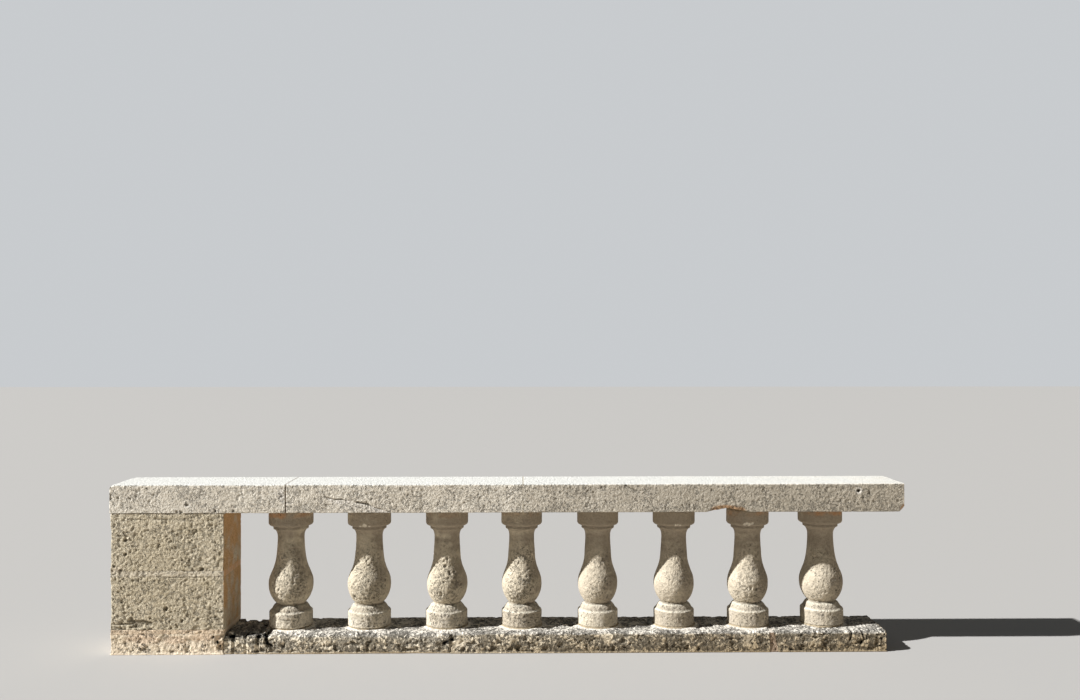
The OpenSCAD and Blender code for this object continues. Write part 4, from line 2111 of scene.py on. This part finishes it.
    def outline(self, height: float) -> Array:
        """Half profile of the pattern, from the foot's middle to the cap's middle.

        Args:
            height: Height of a baluster.

        Returns:
            Radius and height, (n, 2).
        """
        cap_z = height - self.cap_height
        ring_z = cap_z - self.cap_roll_height - self.cap_ring_height
        cove_z = ring_z - self.cove_height
        neck_z = cove_z - self.straight_height
        ledge_z = self.foot_height + self.foot_ledge_height
        t = np.linspace(0, 1, 60)
        quarter = np.linspace(0, np.pi / 2, 12)
        sine, cosine = np.sin(quarter), np.cos(quarter)
        rise = np.sin(np.pi / 2 * t**0.8)
        fall = ((1 - t**4) / (1 + (t / 0.36) ** 2.7))[1:]
        ring_top = self.foot_ring - self.foot_ring_draw
        runs = (
            ([0, self.foot], [0, 0]),
            (
                self.foot - self.foot_corner * (1 - cosine),
                self.foot_height - self.foot_corner * (1 - sine),
            ),
            ([self.foot_ring, ring_top], [ledge_z, ledge_z + self.foot_ring_height]),
            (
                self.waist + (self.belly - self.waist) * rise,
                self.waist_z + (self.belly_z - self.waist_z) * t,
            ),
            (
                self.neck + (self.belly - self.neck) * fall,
                self.belly_z + (neck_z - self.belly_z) * t[1:],
            ),
            (
                self.cap_ring - (self.cap_ring - self.neck) * cosine,
                cove_z + self.cove_height * sine,
            ),
            ([self.cap_ring], [ring_z + self.cap_ring_height]),
            (
                self.cap_ring + (self.cap - self.cap_ring) * sine,
                cap_z - self.cap_roll_height * cosine,
            ),
            ([self.cap, 0], [height, height]),
        )
        return np.concatenate([np.array(run, float).T for run in runs])

    def worn_outline(self, height: float) -> Array:
        """The half profile in even steps, with its arrises softened.

        It is resampled finely, averaged with a bell-shaped window, which rounds each
        arris, and thinned to the step. Its two flat ends keep only a few points.

        Args:
            height: Height of a baluster.

        Returns:
            Radius and height, (n, 2).
        """
        sharp = self.outline(height)
        along = run_length(sharp)
        spots = np.arange(0, along[-1], self.fine_step)
        dense = points_along(sharp, along, spots)
        reach = int(3 * self.softness / self.fine_step)
        steps = np.arange(-reach, reach + 1) * self.fine_step / self.softness
        bell = np.exp(-0.5 * steps**2)
        padded = np.pad(dense, ((reach, reach), (0, 0)), mode="edge")
        soft = [np.convolve(padded[:, a], bell / bell.sum(), mode="valid") for a in range(2)]
        flat = self.cap - 3 * self.softness
        end = spots[-1]
        foot, head = np.linspace(0, flat, 4)[:-1], np.linspace(end - flat, end, 4)
        wanted = np.concatenate([foot, np.arange(flat, end - flat, self.step), head])
        thin = points_along(np.stack(soft, axis=1), spots, wanted)
        thin[0, 0] = thin[-1, 0] = 0
        return thin

    def grooves(self, z: Array, height: float) -> Array:
        """Depth share of the lines cut at the waist, under the cap and, faintly, over the foot.

        Args:
            z: Heights over the foot.
            height: Height of the baluster.

        Returns:
            A share from 0 to 1 a point.
        """
        lines = (
            (self.foot_height + 0.7 * self.foot_ledge_height, 0.3),
            (self.waist_z - 3 * MM, 1.0),
            (height - self.cap_height - self.cap_roll_height, 0.8),
        )
        shares = [deep * np.exp(-(((z - line) / self.groove_width) ** 2)) for line, deep in lines]
        return np.max(shares, axis=0)

    def shape(self, number: int, height: float) -> Skin:
        """Surface of one baluster as it was set, before the weather, with its foot at 0.

        Its radius takes the turning's factors by height and a slow wave round the axis.

        Args:
            number: Its number, counted from 1.
            height: Its height.

        Returns:
            The surface.
        """
        turning = self.turnings[number - 1]
        skin = turned_skin(self.worn_outline(height), front_turns(self.around, self.bias))
        z = skin.points[:, Z].copy()
        over_belly = ramp(z, *self.belly_band)
        at_cap = self.at_cap(z, height)
        at_neck = over_belly * (1 - at_cap)
        at_foot = 1 - ramp(z, *self.foot_band)
        at_belly = (1 - at_foot) * (1 - over_belly)
        factor = (
            turning.cap * at_cap + turning.neck * at_neck
            + turning.belly * at_belly + turning.foot * at_foot
        )
        seed = self.seed + 10 * number
        spread = 0.012 * smooth_noise(skin.points + number, 0.13, seed) * (at_belly + 0.4)
        skin.points[:, :2] *= (factor + spread)[:, None]
        skin.points[:, X] += turning.foot_shift * (1 - ramp(z, 0.06, 0.16))
        skin.points[:, Y] += np.interp(z, [0, height], turning.lean)
        return skin

    def at_cap(self, z: Array, height: float) -> Array:
        """One at the cap's height and nothing at the neck's."""
        return ramp(z, *(height - down for down in self.cap_band))

    def soil(self, skin: Skin, normals: Array, z: Array, number: int, height: float) -> None:
        """Leaves soot, soil, smears of mortar and stains on a baluster.

        Soot gathers high up, in blotches and level bands; in the same blotches and bands,
        shade is painted on the side away from the key light, and it is painted evenly on the
        tier over the foot's disc. The foot is soiled or smeared with pale mortar.

        Args:
            skin: Its surface, which is changed.
            normals: Normals before the weather.
            z: Heights before the weather.
            number: Its number, counted from 1.
            height: Its height.
        """
        turning = self.turnings[number - 1]
        seed = self.seed + 10 * number
        blotches = rough_noise(skin.points, 0.05, 2, seed + 11)
        bands = smooth_noise(skin.points, np.array([0.5, 0.5, 0.022]), seed + 13)
        # The first term is soot high up and the second is painted shade on the side away from the
        # key light; the line below carries both.
        soot_and_painted_shade = 0.8 * ramp(z, 0.36, 0.48) + 0.6 * ramp(normals[:, X], -0.1, 0.6)
        soot = soot_and_painted_shade * np.clip(0.5 + 0.6 * blotches + 0.35 * bands, 0, 1)
        over_disc = ramp(z, *self.disc_band)
        disc = 1 - over_disc
        # Painted shade on the tier over the foot's disc, whose upward slope gets more of the key
        # light than the disc does
        ledge = band(z, self.ledge_low, self.ledge_high)
        skin.leave(Trace.GRIME_AND_SHADE, (turning.grime + soot) * over_disc + 0.4 * ledge)
        soiled = (0.6 - turning.pale + 0.3 * blotches) * disc
        skin.leave(Trace.GRIME_AND_SHADE, soiled + 0.3 * self.at_cap(z, height))
        skin.leave(Trace.FRESH, (turning.pale + 0.4 * blotches) * disc)
        skin.leave(Trace.ROUGH, 0.3 * (1 - ramp(z, 0.1, 0.13)))
        spots = 0.5 + 0.5 * rough_noise(skin.points, 0.04, 2, seed + 9)
        rim = ramp(z, height - 0.05, height - 0.015)
        skin.leave(Trace.STAIN, 1.5 * turning.stain * spots * rim)

    def baluster(self, number: int) -> Skin:
        """Surface of one baluster.

        The lines are cut into it before it is moved to its place. Pits gather on the side
        and lower belly that the rain reaches.

        Args:
            number: Its number, counted from 1.

        Returns:
            The surface.
        """
        low, high = box_of(f"baluster_{number}")
        turning = self.turnings[number - 1]
        height = high[Z] - low[Z]
        skin = self.shape(number, height)
        z = skin.points[:, Z].copy()
        normals = skin.normals()
        held = band(z, (0, self.held_foot), (height - self.held_head, height))
        line = turning.lines * self.grooves(z, height) * held
        skin.sink(normals, self.groove * line * np.hypot(normals[:, X], normals[:, Y]))
        # The lines are darkened as painted shade, for the sharp shadow in them, and as soiling.
        skin.leave(Trace.CAVITY, 0.8 * line)
        axis = np.array([*(low + high)[:2] / 2, low[Z]])
        skin.points = skin.points + axis
        front = 0.35 + 0.65 * ramp(-normals[:, Y], 0.2, 0.85)
        rain = 0.3 + 0.7 * (1 - ramp(z, 0.36, 0.5)) * (0.5 + 0.5 * ramp(z, 0.08, 0.13))
        worn = self.weather.pitted(turning.pitted)
        seed = self.seed + 10 * number
        erode(skin, worn, seed, held * rain * front, 0.4 + 0.6 * turning.pitted)
        chips = tuple(replace(c, centre=tuple(axis + np.array(c.centre))) for c in turning.chips)
        chip_off(skin, normals, chips)
        holes = tuple(replace(h, x=axis[X] + h.x, z=axis[Z] + h.z) for h in turning.holes)
        mark_front(skin, normals, holes)
        self.soil(skin, normals, z, number, height)
        return skin

    def bed(self, name: str, seed: int, sink: float, back: float) -> Skin:
        """Surface of the mortar at a baluster's foot or head: a low disc with a wavy edge.

        Args:
            name: Its solid.
            seed: Its seed.
            sink: How far it reaches down into the stone under it.
            back: How far it stands behind its solid, with a baluster that leans.

        Returns:
            The surface.
        """
        low, high = box_of(name)
        low[Y], high[Y] = low[Y] + back, high[Y] + back
        radius = (high[X] - low[X]) / 2
        foot, top, middle = low[Z] - sink, high[Z], (low[Z] + high[Z]) / 2
        levels = [foot, foot, foot, low[Z], middle, top, top, top]
        edge = np.stack([radius * np.array(self.bed_radii), levels], axis=1)
        skin = turned_skin(edge, front_turns(self.bed_around, 0.0))
        centre = (low + high)[:2] / 2
        skin.points[:, :2] += centre
        wave = 1 + 0.05 * rough_noise(skin.points, 0.05, 2, seed)
        skin.points[:, :2] = centre + (skin.points[:, :2] - centre) * wave[:, None]
        skin.leave(Trace.ROUGH, 0.6)
        skin.leave(Trace.GRIME_AND_SHADE, 0.85)
        return skin

    def build(self) -> None:
        """Builds the balusters and their beds."""
        for number, turning in enumerate(self.turnings, start=1):
            self.shop.dress(f"baluster_{number}", self.baluster(number), Slot.BALUSTER)
            ends = (("foot", 300, self.bed_sink), ("head", 320, 0.0))
            for (end, seed, sink), back in zip(ends, turning.lean):
                name = f"{end}_bed_{number}"
                self.shop.dress(name, self.bed(name, seed + number, sink, back), Slot.PALE_MORTAR)


# Studio


@dataclass
class Studio:
    """Floor, light and camera.

    Attributes:
        eye: Place of the camera, at a standing person's eye height.
        turn: How far it looks to the right, in degrees.
        lens: Focal length in millimetres over a frame 36 mm wide.
        rise: How far its frame is moved up, as a share of the frame's width.
        key_angle: Compass direction of the key light, in degrees from -Y towards -X.
        key_height: Its height above the horizon, in degrees.
        key_size: Its breadth as seen from the stone, in degrees.
        key_power: Its strength.
        back_share: Strength of the light opposite to it, as a share of its own.
        back_size: Breadth of that light, in degrees.
        back_colour: Colour of that light.
        dome_power: Strength of the dome of light over them.
        dome_colour: Its colour.
        backdrop_colour: The dome as the camera sees it.
        floor_half: Half of the floor's width.
        floor_rough: How dull the floor is.
        floor_colour: The floor as the camera sees it.
        bounce_colour: The light that the floor throws back on the stone.
    """

    eye: tuple[float, float, float] = (0.0791, -5.7825, 1.643)
    turn: float = 0.9
    lens: float = 34.6
    rise: float = -0.0005
    key_angle: float = 75.0
    key_height: float = 34.4
    key_size: float = 0.9
    key_power: float = 7.7
    back_share: float = 0.03
    back_size: float = 40.0
    back_colour: tuple[float, float, float] = (1.0, 0.8, 0.58)
    dome_power: float = 0.10
    dome_colour: tuple[float, float, float, float] = (0.90, 0.96, 1.0, 1.0)
    backdrop_colour: tuple[float, float, float, float] = (0.58, 0.60, 0.62, 1.0)
    floor_half: float = 40.0
    floor_rough: float = 0.9
    floor_colour: tuple[float, float, float, float] = (0.40, 0.39, 0.375, 1.0)
    bounce_colour: tuple[float, float, float, float] = (0.50, 0.445, 0.37, 1.0)

    def camera(self) -> None:
        """Puts the camera at the eye, level and turned a little to the right."""
        data = bpy.data.cameras.new("eye")
        data.lens = self.lens
        data.shift_y = self.rise
        camera = bpy.data.objects.new("eye", data)
        camera.location = self.eye
        camera.rotation_euler = (math.pi / 2, 0, -math.radians(self.turn))
        bpy.context.scene.collection.objects.link(camera)
        bpy.context.scene.camera = camera

    def floor(self) -> None:
        """Lays the floor: pale to the camera, and warmer in what it throws on the stone."""
        half = self.floor_half
        mesh = bpy.data.meshes.new("floor")
        corners = [(-half, -half, 0), (half, -half, 0), (half, half, 0), (-half, half, 0)]
        mesh.from_pydata(corners, [], [(0, 1, 2, 3)])
        paint = bpy.data.materials.new("floor")
        paint.use_nodes = True
        sheet = NodeSheet(paint.node_tree)
        shader = paint.node_tree.nodes["Principled BSDF"]
        path = sheet.place("LightPath")
        seen = sheet.mix(path.outputs["Is Camera Ray"], self.bounce_colour, self.floor_colour)
        sheet.feed(shader.inputs["Base Color"], seen)
        shader.inputs["Roughness"].default_value = self.floor_rough
        mesh.materials.append(paint)
        floor = bpy.data.objects.new("floor", mesh)
        bpy.context.scene.collection.objects.link(floor)

    def light(self) -> None:
        """Sets the key light, a weak one opposite to it, a third as high, and the dome."""
        turn, lift = math.radians(self.key_angle), math.radians(self.key_height)
        white, weak = (1.0, 1.0, 1.0), self.back_share * self.key_power
        lamps = (
            ("key", turn, lift, self.key_power, self.key_size, white),
            ("back", turn + math.pi, lift / 3, weak, self.back_size, self.back_colour),
        )
        for name, compass, height, power, size, colour in lamps:
            data = bpy.data.lights.new(name, "SUN")
            data.energy = power
            data.color = colour
            data.angle = math.radians(size)
            lamp = bpy.data.objects.new(name, data)
            lamp.rotation_euler = (math.pi / 2 - height, 0, -compass)
            bpy.context.scene.collection.objects.link(lamp)
        world = bpy.data.worlds.new("studio")
        world.use_nodes = True
        bpy.context.scene.world = world
        sheet = NodeSheet(world.node_tree)
        world.node_tree.nodes.clear()
        dome = sheet.place("Background")
        dome.inputs["Color"].default_value = self.dome_colour
        dome.inputs["Strength"].default_value = self.dome_power
        seen = sheet.place("Background")
        seen.inputs["Color"].default_value = self.backdrop_colour
        path = sheet.place("LightPath")
        either = sheet.place("MixShader")
        sheet.feed(either.inputs[0], path.outputs["Is Camera Ray"])
        sheet.feed(either.inputs[1], dome.outputs[0])
        sheet.feed(either.inputs[2], seen.outputs[0])
        output = sheet.place("OutputWorld")
        sheet.feed(output.inputs["Surface"], either.outputs[0])

    def build(self) -> None:
        """Sets up the studio."""
        self.camera()
        self.floor()
        self.light()
        bpy.context.scene.view_settings.view_transform = "Standard"


def main() -> None:
    """Builds the studio and every sub-assembly round the axes of the balusters."""
    logging.basicConfig(level=logging.INFO, format="%(name)s: %(message)s")
    Studio().build()
    group = stone_group()
    shop = Shop({finish.slot: finish.material(group) for finish in FINISHES})
    boxes = [box_of(f"baluster_{number + 1}") for number in range(BALUSTERS)]
    axes = np.array([(low + high)[:2] / 2 for low, high in boxes])
    for assembly in (Pier(shop), PlinthCourse(shop, axes), BalusterRow(shop), Rail(shop, axes)):
        LOG.info("building %s", type(assembly).__name__)
        assembly.build()


if __name__ == "__main__":
    main()
